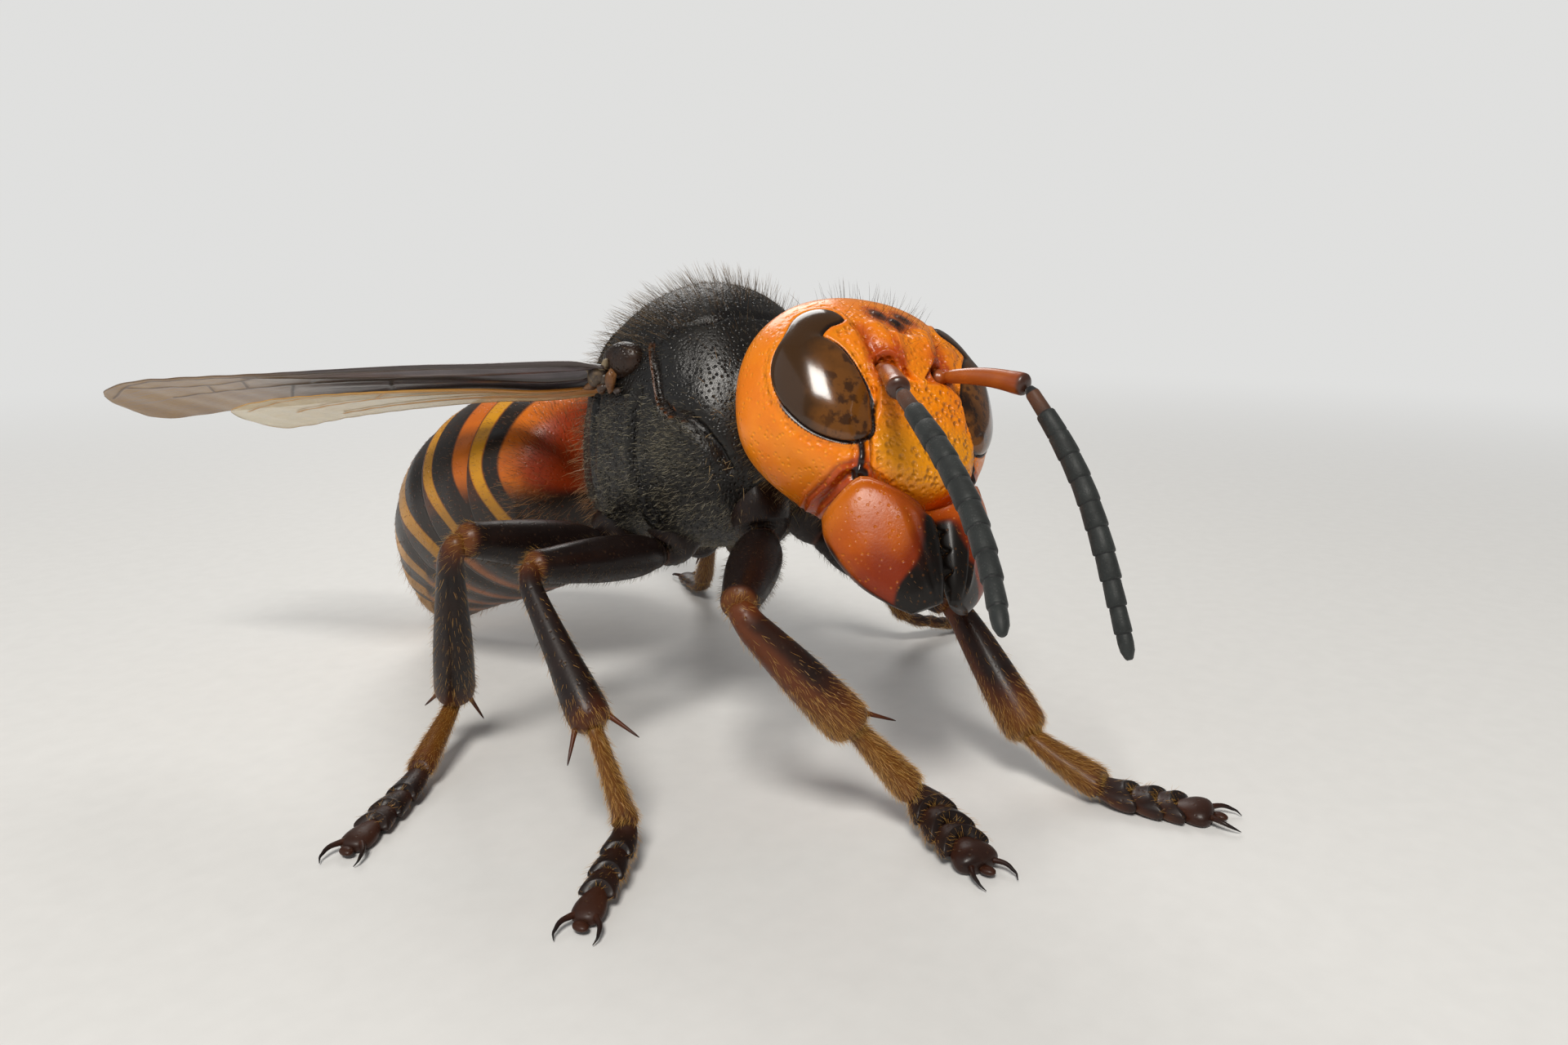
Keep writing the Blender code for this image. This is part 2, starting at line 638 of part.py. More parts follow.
def make_wing(kind, side, name, material):
    spec = WINGS[kind]
    sweep, fall, tilt = (radians(spec[k]) for k in ("sweep", "fall", "tilt"))
    along = Vector((sin(sweep) * cos(fall), -cos(sweep) * cos(fall), sin(fall)))
    out = Vector((cos(sweep), sin(sweep), 0.0))
    over = out.cross(along).normalized() * -1.0
    if over.z < 0:
        over = -over
    lead = out * cos(tilt) + over * sin(tilt)
    normal = over * cos(tilt) - out * sin(tilt)
    root = Vector(spec["root"])
    spans, strips = spec["spans"], spec["strips"]
    layers = []
    for face in (1, -1):
        grid = []
        for i in range(spans + 1):
            u = i / spans
            row = []
            chord = table(spec["chord"], u)
            for j in range(strips + 1):
                v = j / strips
                rib = max(bump(v - vein, 0.06) for vein in spec["veins"]) * smooth_step(1.0, 0.7, u)
                edge = min(v, 1 - v) * 2
                half = WING_THICKNESS / 2 * (1.0 if edge > 0.1 else 0.8) * (1 - 0.3 * u ** 4)
                wave = 0.25 * sin(pi * v) * (1 - u)
                p = root + along * (spec["length"] * u - 0.8 * (v - 0.3) ** 2)
                p += lead * (chord * (0.35 - v)) + normal * (wave + face * (half + VEIN_RISE * rib))
                row.append(Vector((side * p.x, p.y, p.z)))
            grid.append(row)
        layers.append(grid)
    points = [p for grid in layers for row in grid for p in row]
    width = strips + 1
    per = (spans + 1) * width
    faces = []
    for i in range(spans):
        for j in range(strips):
            a, b = i * width + j, i * width + j + 1
            c, d = (i + 1) * width + j + 1, (i + 1) * width + j
            faces += [(a, b, c), (a, c, d), (per + c, per + b, per + a), (per + d, per + c, per + a)]
    edge = ([(i * width, (i + 1) * width) for i in range(spans)]
            + [(spans * width + j, spans * width + j + 1) for j in range(strips)]
            + [((i + 1) * width + strips, i * width + strips) for i in reversed(range(spans))]
            + [(j + 1, j) for j in reversed(range(strips))])
    for a, b in edge:
        faces += [(a, b, per + b), (a, per + b, per + a)]
    return solid(name, points, faces, material, THORAX)


# The legs: each is solved from the hip to a foot that is level on the floor
FEMUR_PROFILE = ((0.0, 0.36), (0.06, 0.62), (0.25, 0.98), (0.5, 0.98), (0.8, 0.78), (0.94, 0.68),
                 (1.0, 0.4))
TIBIA_PROFILE = ((0.0, 0.36), (0.06, 0.5), (0.2, 0.6), (0.5, 0.78), (0.85, 0.88), (0.96, 0.8),
                 (1.0, 0.45))
COXA_PROFILE = ((0.0, 1.3), (0.3, 1.35), (0.6, 1.1), (0.78, 0.75), (0.84, 0.68), (0.95, 0.72),
                (1.0, 0.45))
TARSUS_RADIUS = (0.58, 0.5, 0.47, 0.46, 0.44)
TARSUS_SHARE = (0.0, 0.46, 0.62, 0.74, 0.84, 1.0)
CLAW_LENGTH = 1.15
SPURS = {"fore": 1, "mid": 2, "hind": 2}
SPUR_LENGTH = 1.3
COXA_SIDES = 10
LEG_SIDES = 8
FOOT_SIDES = 6
SPIKE_SIDES = 4


def leg_joints(spec):
    """Hip, knee, ankle, end of the first foot joint and the claws' root, on the floor frame."""
    hip = THORAX @ Vector(spec["tip"])
    knee = hip + direction(*spec["femur"][1:]) * spec["femur"][0]
    ankle = knee + direction(*spec["tibia"][1:]) * spec["tibia"][0]
    ball = ankle + direction(*spec["first"][1:]) * spec["first"][0]
    length, heading = spec["foot"]
    drop = min(0.95, max(-0.95, (ball.z - FOOT_HEIGHT) / length))
    level = sqrt(1.0 - drop * drop)
    toe = ball + Vector((sin(radians(heading)) * level, cos(radians(heading)) * level, -drop)) * length
    return hip, knee, ankle, ball, toe


def spike(start, way, length, radius, material, bend=Vector()):
    """Short tapering spine, curved towards bend."""
    line = [start, start + way * length * 0.5, start + way * length + bend]
    profile = ((0.0, radius), (0.5, radius * 0.75), (1.0, 0.08))
    rings = tube_rings(line, profile, SPIKE_SIDES, 0.3, Vector((0.3, 0.2, 0.9)))
    return solid("spike", *loft(rings), material)


def scaled(profile, factor):
    return [(share, radius * factor) for share, radius in profile]


def make_leg(name, spec, thorax, materials):
    hip, knee, ankle, ball, toe = leg_joints(spec)
    size = spec["size"]
    upright = Vector((0, 0, 1))
    femur_way = (knee - hip).normalized()
    tibia_way = (ankle - knee).normalized()
    first_way = (ball - ankle).normalized()
    base = THORAX @ Vector(spec["base"])
    elbow = hip - femur_way * 0.5
    rings = tube_rings([base, elbow, hip + femur_way * 0.5], scaled(COXA_PROFILE, size), COXA_SIDES,
                       0.6, Vector((0, 1, 0.3)))
    coxa = solid(name + "_coxa", *loft(rings), materials["leg"])
    cut(coxa, thorax)
    rings = tube_rings([hip + femur_way * 0.2, knee], scaled(FEMUR_PROFILE, size), LEG_SIDES, 0.5)
    femur = solid(name + "_femur", *loft(rings), materials["leg"])
    cut(femur, coxa, solver="MANIFOLD")
    corner = knee + (femur_way + tibia_way).normalized() * 0.75
    line = [knee, corner, corner + tibia_way, ankle]
    rings = tube_rings(line, scaled(TIBIA_PROFILE, size), LEG_SIDES, 0.6)
    tibia = solid(name + "_tibia", *loft(rings), materials["leg"])
    spurs = []
    beside = tibia_way.cross(first_way).normalized()
    for k in range(SPURS[name.split("_")[0]]):
        away = beside if k else -beside
        way = (tibia_way * 0.7 + away * 0.75).normalized()
        spurs.append(spike(ankle - tibia_way * 0.85 + away * 0.25, way, SPUR_LENGTH + 0.5, 0.2,
                           materials["leg"]))
    fuse(tibia, spurs)
    cut(tibia, femur, solver="MANIFOLD")
    corner = ankle + (tibia_way + first_way).normalized() * 0.5
    line = [ankle, corner, ball, toe]
    profile = [(0.0, 0.26 * size)]
    for k in range(5):
        start, end = TARSUS_SHARE[k], TARSUS_SHARE[k + 1]
        radius = TARSUS_RADIUS[k] * size
        neck = 0.0 if k else 0.03
        profile += [(start + neck + 0.008, radius * 0.62), (start * 0.45 + end * 0.55, radius * 0.85),
                    (end - 0.02, radius)]
    profile.append((1.0, 0.25 * size))
    tarsus = solid(name + "_tarsus", *loft(tube_rings(line, profile, FOOT_SIDES, 0.7)),
                   materials["foot"])
    toe_way = Vector((toe.x - ball.x, toe.y - ball.y, 0.0)).normalized()
    side_way = toe_way.cross(upright)
    claws = []
    for side in (-1, 1):
        way = (toe_way + side_way * side * 0.75 + upright * 0.05).normalized()
        claws.append(spike(toe - toe_way * 0.35, way, CLAW_LENGTH, 0.2, materials["foot"],
                           Vector((0, 0, -0.22))))
    fuse(tarsus, claws)
    cut(tarsus, tibia, solver="MANIFOLD")
    level_on_floor(tarsus)


def centre_on_origin():
    """Turn the hornet so that its head points to -Y, and centre its box over the origin."""
    half_turn = Matrix.Rotation(pi, 4, "Z")
    for obj in hornet.objects:
        obj.data.transform(half_turn)
    corners = [v.co for obj in hornet.objects for v in obj.data.vertices]
    low = [min(c[i] for c in corners) for i in range(3)]
    high = [max(c[i] for c in corners) for i in range(3)]
    shift = Matrix.Translation((-(low[0] + high[0]) / 2, -(low[1] + high[1]) / 2, -low[2]))
    for obj in hornet.objects:
        obj.data.transform(shift)
        obj.data.update()
    return shift @ half_turn


def main():
    materials = make_materials()
    thorax = make_thorax(materials["thorax"])
    head = make_head(materials["orange"])
    eyes = [make_eye("eye_" + side, sign, materials["eye"]) for side, sign in SIDES]
    cut(head, *eyes)
    cut(head, thorax)
    for side, sign in SIDES:
        mandible = make_mandible("mandible_" + side, sign, materials["mandible"])
        cut(mandible, head)
        scape, whip = make_antenna(side, materials)
        cut(scape, head)
        cut(whip, scape)
    neck = make_neck(materials["thorax"])
    cut(neck, head, thorax)
    waist = make_waist(materials["thorax"])
    gaster = make_gaster(materials["tergite"])
    cut(waist, thorax, gaster[0])
    for side, sign in SIDES:
        tegula = make_tegula("tegula_" + side, sign, materials["thorax"])
        cut(tegula, thorax)
        fore = make_wing("forewing", sign, "forewing_" + side, materials["wing"])
        cut(fore, thorax, tegula)
        hind = make_wing("hindwing", sign, "hindwing_" + side, materials["wing"])
        cut(hind, thorax, tegula, fore)
    for name, spec in LEGS.items():
        make_leg(name, spec, thorax, materials)
    return centre_on_origin()


clear_scene()
hornet = bpy.data.collections.new("asian_giant_hornet")
bpy.context.scene.collection.children.link(hornet)
cutters = bpy.data.collections.new("cutters")
bpy.context.scene.collection.children.link(cutters)
placed = main()
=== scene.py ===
# Asian giant hornet, life size, standing on a pale floor in soft studio light.
# Shapes are worked out in millimetres in the frame of the head, the thorax or the floor,
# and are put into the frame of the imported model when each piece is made.

import bpy
import bmesh
import numpy as np
from math import radians
from mathutils import Matrix, Vector


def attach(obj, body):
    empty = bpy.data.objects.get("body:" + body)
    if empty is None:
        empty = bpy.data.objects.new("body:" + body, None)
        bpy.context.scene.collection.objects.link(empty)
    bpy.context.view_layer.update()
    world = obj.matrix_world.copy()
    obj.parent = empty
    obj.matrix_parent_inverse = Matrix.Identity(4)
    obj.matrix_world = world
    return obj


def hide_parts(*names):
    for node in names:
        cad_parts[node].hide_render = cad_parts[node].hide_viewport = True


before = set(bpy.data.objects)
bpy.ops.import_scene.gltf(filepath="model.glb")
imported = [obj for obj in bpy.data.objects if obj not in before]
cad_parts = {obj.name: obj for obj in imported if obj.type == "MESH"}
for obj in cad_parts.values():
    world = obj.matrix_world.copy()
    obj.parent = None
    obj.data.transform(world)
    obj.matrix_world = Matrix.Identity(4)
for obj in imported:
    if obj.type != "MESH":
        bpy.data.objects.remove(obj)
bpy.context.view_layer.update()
mm = 0.001
tau = 2.0 * np.pi
sides = (("right", 1.0), ("left", -1.0))

# Where the body stands: the same values as in the solids
stance = {
    "thoraxCentre": (0.0, 0.0, 15.24), "thoraxTurn": (0.0, 11.0, -7.2),      # yaw, pitch, roll
    "headCentre": (0.71, 9.64, 15.97), "headTurn": (-17.4, 28.6, -10.8),
    "floorShift": (-0.564, -2.737, 0.0),       # centres the box over the origin
}


def turned(yaw, pitch, roll):
    aboutZ = Matrix.Rotation(radians(yaw), 4, "Z")
    aboutX = Matrix.Rotation(radians(pitch), 4, "X")
    return aboutZ @ aboutX @ Matrix.Rotation(radians(roll), 4, "Y")


floorPlace = Matrix.Translation(stance["floorShift"]) @ Matrix.Rotation(np.pi, 4, "Z")
thoraxOnFloor = Matrix.Translation(stance["thoraxCentre"]) @ turned(*stance["thoraxTurn"])
headOnFloor = Matrix.Translation(stance["headCentre"]) @ turned(*stance["headTurn"])
thoraxPlace = floorPlace @ thoraxOnFloor
headPlace = floorPlace @ headOnFloor


# Small sums on arrays
def smoothStep(low, high, x):
    t = np.clip((x - low) / (high - low), 0.0, 1.0)
    return t * t * (3.0 - 2.0 * t)


def bump(x, width):
    return np.exp(-(x / width) ** 2)


def unit(v):
    return v / np.maximum(1e-9, np.linalg.norm(v, axis=-1, keepdims=True))


def through(rows, x):
    # smooth curve through the rows of a short table, by their first number
    rows, x = np.array(rows, float), np.atleast_1d(np.array(x, float))
    k = np.clip(np.searchsorted(rows[:, 0], x) - 1, 0, len(rows) - 2)
    start, end = rows[k], rows[k + 1]
    before, after = rows[np.maximum(k - 1, 0)], rows[np.minimum(k + 2, len(rows) - 1)]
    span = (end - start)[:, :1]
    t = np.clip((x[:, None] - start[:, :1]) / span, 0.0, 1.0)
    slopeIn = (end - before) / (end - before)[:, :1] * span
    slopeOut = (after - start) / (after - start)[:, :1] * span
    blend = ((2 * t ** 3 - 3 * t ** 2 + 1) * start + (t ** 3 - 2 * t ** 2 + t) * slopeIn
             + (3 * t ** 2 - 2 * t ** 3) * end + (t ** 3 - t ** 2) * slopeOut)
    return blend[:, 1:]


def pathDistance(points, path):
    # distance of each point to a polyline, in as many dimensions as both have
    path = np.array(path, float)
    best = np.full(len(points), 1e9)
    for a, b in zip(path, path[1:]):
        t = np.clip((points - a) @ (b - a) / ((b - a) @ (b - a)), 0.0, 1.0)
        best = np.minimum(best, np.linalg.norm(points - a - t[:, None] * (b - a), axis=1))
    return best


def insideOutline(x, z, outline):
    # signed distance to a closed outline, positive inside
    outline = np.array(outline, float)
    inside = np.zeros(len(x), bool)
    for (ax, az), (bx, bz) in zip(outline, np.roll(outline, -1, axis=0)):
        if az != bz:
            inside ^= ((az > z) != (bz > z)) & (x < (bx - ax) * (z - az) / (bz - az) + ax)
    distance = pathDistance(np.stack([x, z], 1), np.vstack([outline, outline[:1]]))
    return np.where(inside, distance, -distance)


# Meshes
def makePiece(name, points, faces, material, place=None, fields=None):
    if place is not None:
        turn = np.array(place)
        points = points @ turn[:3, :3].T + turn[:3, 3]
    mesh = bpy.data.meshes.new(name)
    mesh.from_pydata((points * mm).tolist(), [], faces)
    mesh.validate()
    for key, values in (fields or {}).items():
        if key == "flow" and place is not None:
            values = values @ turn[:3, :3].T
        values = np.asarray(values, np.float32)
        kind = "FLOAT" if values.ndim == 1 else "FLOAT_VECTOR"
        spot = mesh.attributes.new(key, kind, "POINT")
        spot.data.foreach_set("value" if values.ndim == 1 else "vector", values.ravel())
    mesh.polygons.foreach_set("use_smooth", [True] * len(mesh.polygons))
    mesh.materials.append(material)
    piece = bpy.data.objects.new(name, mesh)
    bpy.context.scene.collection.objects.link(piece)
    return piece


def joinParts(parts):
    # several (points, faces, fields) as one, for one piece
    points, faces, fields, start = [], [], {}, 0
    for partPoints, partFaces, partFields in parts:
        points.append(partPoints)
        faces += [tuple(i + start for i in face) for face in partFaces]
        for key, values in partFields.items():
            fields.setdefault(key, []).append(values)
        start += len(partPoints)
    return np.concatenate(points), faces, {key: np.concatenate(v) for key, v in fields.items()}


def ringFaces(rings, count):
    # faces of a tube of rings, with its two end points last
    faces = []
    for i in range(rings - 1):
        for j in range(count):
            k = (j + 1) % count
            faces.append((i * count + j, i * count + k, (i + 1) * count + k, (i + 1) * count + j))
    first, last, end = rings * count, rings * count + 1, (rings - 1) * count
    for j in range(count):
        k = (j + 1) % count
        faces += [(k, j, first), (end + j, end + k, last)]
    return faces


def outward(points, faces):
    # turns the faces of a closed shell outwards
    corners = np.array([face[:3] for face in faces])
    a, b, c = (points[corners[:, k]] - points.mean(0) for k in range(3))
    return [face[::-1] for face in faces] if (a * np.cross(b, c)).sum() < 0 else faces


def closedRings(rings, fields=None):
    # rings (n, count, 3) closed by a middle point at both ends
    n, count = rings.shape[:2]
    points = np.concatenate([rings.reshape(-1, 3), rings[:1].mean(1), rings[-1:].mean(1)])
    closed = {}
    fields = dict(fields or {}, flow=unit(np.gradient(rings, axis=0)))      # the way that hairs lie
    for key, values in fields.items():
        values = np.broadcast_to(values, (n, count) + np.shape(values)[2:])
        closed[key] = np.concatenate([values.reshape((-1,) + values.shape[2:]),
                                      values[:1].mean(1), values[-1:].mean(1)])
    return points, outward(points, ringFaces(n, count)), closed


def softPath(corners, soften, share):
    # places at shares of a polyline's length, with its corners rounded over a length
    corners = np.array(corners, float)
    lengths = np.linalg.norm(np.diff(corners, axis=0), axis=1)
    sums = np.concatenate([[0.0], np.cumsum(lengths)])
    total = sums[-1]
    s = np.clip(np.atleast_1d(share), 0.0, 1.0) * total
    reach = np.minimum(soften, np.minimum(s, total - s))
    places = 0.0
    for k in range(-3, 4):
        at = s + reach * k / 3.0
        places = places + np.stack([np.interp(at, sums, corners[:, c]) for c in range(3)], 1)
    return places / 7.0


def tubeRings(corners, profile, count, steps, soften=0.8, upright=(0, 0, 1), flat=1.0):
    # rings along a soft polyline: (share of the length, radius) in the profile
    share = np.linspace(0.0, 1.0, steps) if np.isscalar(steps) else np.array(steps)
    radius = through(profile, share)[:, 0]
    here = softPath(corners, soften, share)
    along = unit(softPath(corners, soften, share + 0.01) - softPath(corners, soften, share - 0.01))
    across = unit(np.cross(along, np.array(upright, float)))
    over = np.cross(across, along)
    angle = np.arange(count) / count * tau
    ring = (across[:, None] * np.cos(angle)[None, :, None]
            + over[:, None] * (flat * np.sin(angle))[None, :, None])
    return here[:, None] + ring * radius[:, None, None], share, angle


# Materials: short helpers for nodes
def wire(tree, kind, sockets=None, **settings):
    # a node with its settings, and its sockets linked or given a value
    node = tree.nodes.new(kind)
    for key, value in settings.items():
        setattr(node, key, value)
    for key, value in (sockets or {}).items():
        if isinstance(value, bpy.types.NodeSocket):
            tree.links.new(value, node.inputs[key])
        else:
            node.inputs[key].default_value = value
    return node


def sumOf(tree, operation, a, b=0.0):
    return wire(tree, "ShaderNodeMath", {0: a, 1: b}, operation=operation).outputs[0]


def blendColours(tree, share, a, b, how="MIX"):
    mix = wire(tree, "ShaderNodeMix", {0: share, 6: a, 7: b}, data_type="RGBA", blend_type=how)
    return mix.outputs[2]


def remap(tree, value, low, high, newLow=0.0, newHigh=1.0):
    sockets = {0: value, 1: low, 2: high, 3: newLow, 4: newHigh}
    return wire(tree, "ShaderNodeMapRange", sockets, interpolation_type="SMOOTHSTEP").outputs[0]


def field(tree, name):
    return wire(tree, "ShaderNodeAttribute", attribute_name=name).outputs["Fac"]


def objectPlace(tree):
    return wire(tree, "ShaderNodeTexCoord").outputs["Object"]


def newPaint(name, **settings):
    paint = bpy.data.materials.new(name)
    paint.use_nodes = True
    shader = paint.node_tree.nodes["Principled BSDF"]
    for key, value in settings.items():
        shader.inputs[key.replace("_", " ")].default_value = value
    return paint, paint.node_tree, shader


def newGroup(name, inputs, outputs):
    group = bpy.data.node_groups.new(name, "ShaderNodeTree")
    for key, (kind, value) in inputs.items():
        socket = group.interface.new_socket(key, in_out="INPUT", socket_type="NodeSocket" + kind)
        if value is not None:
            socket.default_value = value
    for key, kind in outputs.items():
        group.interface.new_socket(key, in_out="OUTPUT", socket_type="NodeSocket" + kind)
    return group, group.nodes.new("NodeGroupInput").outputs, group.nodes.new("NodeGroupOutput").inputs


def makePitGroup():
    # fine pits in a shell: a height, and a mask of the pits
    group, given, result = newGroup(
        "shellPits", {"Place": ("Vector", None), "Scale": ("Float", 4000.0), "Size": ("Float", 0.3),
                      "Depth": ("Float", 1.0), "Grain": ("Float", 0.3)},
        {"Height": "Float", "Pits": "Float"})
    cells = wire(group, "ShaderNodeTexVoronoi", {"Vector": given["Place"], "Scale": given["Scale"]})
    pits = wire(group, "ShaderNodeMapRange", {0: cells.outputs["Distance"], 1: 0.0, 2: given["Size"],
                                              3: 1.0, 4: 0.0}, interpolation_type="SMOOTHSTEP")
    fine = wire(group, "ShaderNodeTexNoise", {"Vector": given["Place"], "Scale": 9000.0, "Detail": 3.0})
    grain = sumOf(group, "MULTIPLY", fine.outputs[0], given["Grain"])
    deep = sumOf(group, "MULTIPLY", pits.outputs[0], given["Depth"])
    group.links.new(sumOf(group, "SUBTRACT", grain, deep), result["Height"])
    group.links.new(pits.outputs[0], result["Pits"])
    return group


def makeMottleGroup():
    # slow uneven patches, from -1 to 1
    group, given, result = newGroup(
        "shellMottle", {"Place": ("Vector", None), "Scale": ("Float", 400.0)}, {"Mottle": "Float"})
    noise = wire(group, "ShaderNodeTexNoise", {"Vector": given["Place"], "Scale": given["Scale"],
                                               "Detail": 4.0, "Roughness": 0.55})
    wide = wire(group, "ShaderNodeMapRange", {0: noise.outputs[0], 1: 0.3, 2: 0.7, 3: -1.0, 4: 1.0})
    group.links.new(wide.outputs[0], result["Mottle"])
    return group


pitGroup = makePitGroup()
mottleGroup = makeMottleGroup()


def useGroup(tree, group, sockets):
    return wire(tree, "ShaderNodeGroup", sockets, node_tree=group).outputs


def shellPaint(name, look):
    # chitin: a base colour, and others laid over it where the piece's own fields say
    paint, tree, shader = newPaint(name, **look.get("shader", {}))
    place = objectPlace(tree)
    mottle = useGroup(tree, mottleGroup, {"Place": place, "Scale": look.get("mottleScale", 500.0)})
    pits = useGroup(tree, pitGroup, {"Place": place, "Scale": look["pitScale"],
                                     "Size": look.get("pitSize", 0.3),
                                     "Depth": look.get("pitDepth", 1.0),
                                     "Grain": look.get("grain", 0.3)})
    colour = blendColours(tree, remap(tree, mottle["Mottle"], -1.0, 1.0),
                          (*look["base"], 1.0), (*look["shade"], 1.0))
    for key, over in look.get("over", {}).items():
        share = sumOf(tree, "ADD", field(tree, key),
                      sumOf(tree, "MULTIPLY", mottle["Mottle"], look.get("edgeNoise", 0.06)))
        share = remap(tree, share, 0.08, 0.92)
        colour = blendColours(tree, share, colour, (*over, 1.0))
    rough = sumOf(tree, "SUBTRACT", 1.0, field(tree, "smooth"))
    # the pits take their own colour; on the head and jaws the lighter pit colour is a painted glint in each
    # pit
    pitted = sumOf(tree, "MULTIPLY", sumOf(tree, "MULTIPLY", pits["Pits"], look.get("pitTint", 0.3)), rough)
    colour = blendColours(tree, pitted, colour, (*look.get("pitColour", look["shade"]), 1.0))
    tree.links.new(colour, shader.inputs["Base Color"])
    low, high = look["roughness"]
    gloss = remap(tree, mottle["Mottle"], -1.0, 1.0, low, high)
    tree.links.new(gloss, shader.inputs["Roughness"])
    depth = sumOf(tree, "MULTIPLY", pits["Height"], rough)
    if "coarse" in look:
        dots = useGroup(tree, pitGroup, {"Place": place, "Grain": 0.0, **look["coarse"]})
        dots = sumOf(tree, "MULTIPLY", dots["Height"], field(tree, "coarse"))
        depth = sumOf(tree, "ADD", depth, dots)
    dent = wire(tree, "ShaderNodeBump", {"Height": depth, "Strength": look.get("bump", 0.6),
                                         "Distance": look.get("bumpDepth", 0.00003)})
    tree.links.new(dent.outputs[0], shader.inputs["Normal"])
    return paint


# Head: a rounded box that narrows to the jaws, with the forms of the face raised on it
headForm = {
    "halfWidth": 5.2, "front": 2.75, "back": 4.0, "crown": 5.4, "chin": 4.6, "square": 2.35,
    "cells": 120,                      # squares along an edge of the starting cube
    "socket": (1.3, 1.05), "socketRadius": 0.55,
    "ocelli": ((0.0, 3.42), (0.62, 3.86), (-0.62, 3.86)), "ocellusRadius": 0.2,
    "clypeus": ((0.0, 0.38), (0.8, 0.45), (1.45, 0.36), (1.92, 0.10), (2.13, -0.94), (2.42, -2.14),
                (2.40, -3.05), (1.95, -3.48), (1.19, -4.06), (0.62, -4.42), (0.3, -4.36), (0.0, -4.24)),
    "clypeusRise": 0.42, "dots": 230, "dotDepth": 0.035, "dotRadius": 0.07, "dotSeed": 4,
    "cheekLine": ((2.72, 2.3, -1.7), (2.68, 2.2, -2.6), (2.69, 1.81, -3.26)),
    "cheekEdge": ((2.69, 1.81, -3.26), (3.09, 1.53, -3.25), (3.1, -0.55, -3.65), (2.3, -2.3, -3.55)),
    "furrow": ((1.95, 3.1), (1.82, 2.2), (1.62, 1.45)),
    "brow": ((1.15, 3.0), (0.95, 2.3), (0.78, 1.6)), "eyeFoot": (2.6, 2.3, -1.75),
}
eyeForm = {
    "spine": ((0.00, 2.52, 1.90, 3.20, 0.12), (0.07, 2.85, 1.65, 3.32, 0.46),
              (0.19, 3.50, 1.45, 3.13, 0.54), (0.33, 4.08, 1.38, 2.50, 0.56),
              (0.45, 4.15, 1.45, 1.70, 0.86), (0.60, 3.85, 1.65, 0.85, 1.38),
              (0.76, 3.44, 1.95, -0.28, 1.40), (0.89, 3.12, 2.07, -1.02, 1.00),
              (0.97, 2.82, 2.25, -1.50, 0.46), (1.00, 2.70, 2.33, -1.70, 0.10)),
    "sphere": 4.5, "bulge": 0.36, "samples": 90, "cells": (210, 150),
    "middle": (3.75, 1.75, 0.7), "tall": (-1.1, 0.95), "wide": (-0.75, 0.75),      # the patch it is cut from
}


def cubeSphere(cells):
    # directions over a cube's six faces, evenly spread, and the squares between them
    grid = np.linspace(-np.pi / 4, np.pi / 4, cells + 1)
    a, b = np.meshgrid(np.tan(grid), np.tan(grid), indexing="ij")
    one = np.ones_like(a)
    points, faces, start = [], [], 0
    for face in ((a, b, one), (b, a, -one), (one, a, b), (-one, b, a), (b, one, a), (a, -one, b)):
        points.append(np.stack(face, -1).reshape(-1, 3))
        index = start + np.arange((cells + 1) ** 2).reshape(cells + 1, cells + 1)
        quads = np.stack([index[:-1, :-1], index[1:, :-1], index[1:, 1:], index[:-1, 1:]], -1)
        faces.append(quads.reshape(-1, 4))
        start += (cells + 1) ** 2
    points, faces = unit(np.concatenate(points)), np.concatenate(faces)
    first, same = np.unique(np.round(points, 6), axis=0, return_index=True, return_inverse=True)[1:]
    return points[first], same.reshape(-1)[faces]


def eyeReach(d):
    # signed distance to the nearer eye's outline, negative inside, and how far out from its spine
    spine = through(eyeForm["spine"], np.linspace(0, 1, eyeForm["samples"]))
    centre, half = unit(spine[:, :3]) * eyeForm["sphere"], spine[:, 3]
    folded = d * eyeForm["sphere"]
    folded[:, 0] = np.abs(folded[:, 0])
    gap = np.full(len(d), 9.0)
    ratio = np.full(len(d), 9.0)
    size = np.zeros(len(d))
    near = (d[:, 1] > -0.2)
    r = np.linalg.norm(folded[near][:, None] - centre[None], axis=2)
    reach = r - half
    k = reach.argmin(1)
    rows = np.arange(len(k))
    weight = np.exp(-(reach - reach[rows, k][:, None]) / 0.06)
    weight /= weight.sum(1, keepdims=True)
    gap[near] = reach[rows, k]
    ratio[near] = (weight * r / half).sum(1)
    size[near] = (weight * half).sum(1)
    return gap, ratio, size


def headBase(d):
    # the plain form of the head in a direction from its centre
    form = headForm
    depth = np.where(d[:, 1] > 0, form["front"], form["back"])
    height = np.where(d[:, 2] > 0, form["crown"], form["chin"])
    power = form["square"]
    scale = (np.abs(d[:, 0] / form["halfWidth"]) ** power + np.abs(d[:, 1] / depth) ** power
             + np.abs(d[:, 2] / height) ** power) ** (-1.0 / power)
    p = d * scale[:, None]
    p[:, 0] *= 1.0 + 0.19 * bump(p[:, 1] + 2.3, 2.1) - 0.05 * smoothStep(0.3, 2.2, p[:, 1])
    p[:, 2] += 0.25 * smoothStep(0.5, 4.0, p[:, 2]) * bump(p[:, 1] + 1.3, 2.3)
    p[:, 0] *= 1.0 - 0.24 * smoothStep(0.5, -4.6, p[:, 2]) ** 1.5
    front = smoothStep(-0.12, 0.12, d[:, 1])
    p[:, 1] += 0.55 * smoothStep(-1.0, -4.2, p[:, 2]) * (0.4 + 0.6 * front)
    p[:, 1] -= 0.5 * smoothStep(2.2, 4.75, p[:, 2]) * front
    hollow = np.sqrt((p[:, 0] / 3.6) ** 2 + ((p[:, 2] - 0.3) / 3.2) ** 2)
    p[:, 1] += 1.9 * smoothStep(1.15, 0.2, hollow) * smoothStep(0.05, -0.1, d[:, 1])
    return p


def headOut(d):
    # the way that the face's forms rise in
    return unit(d * np.array([1.0, 1.6, 1.0]))


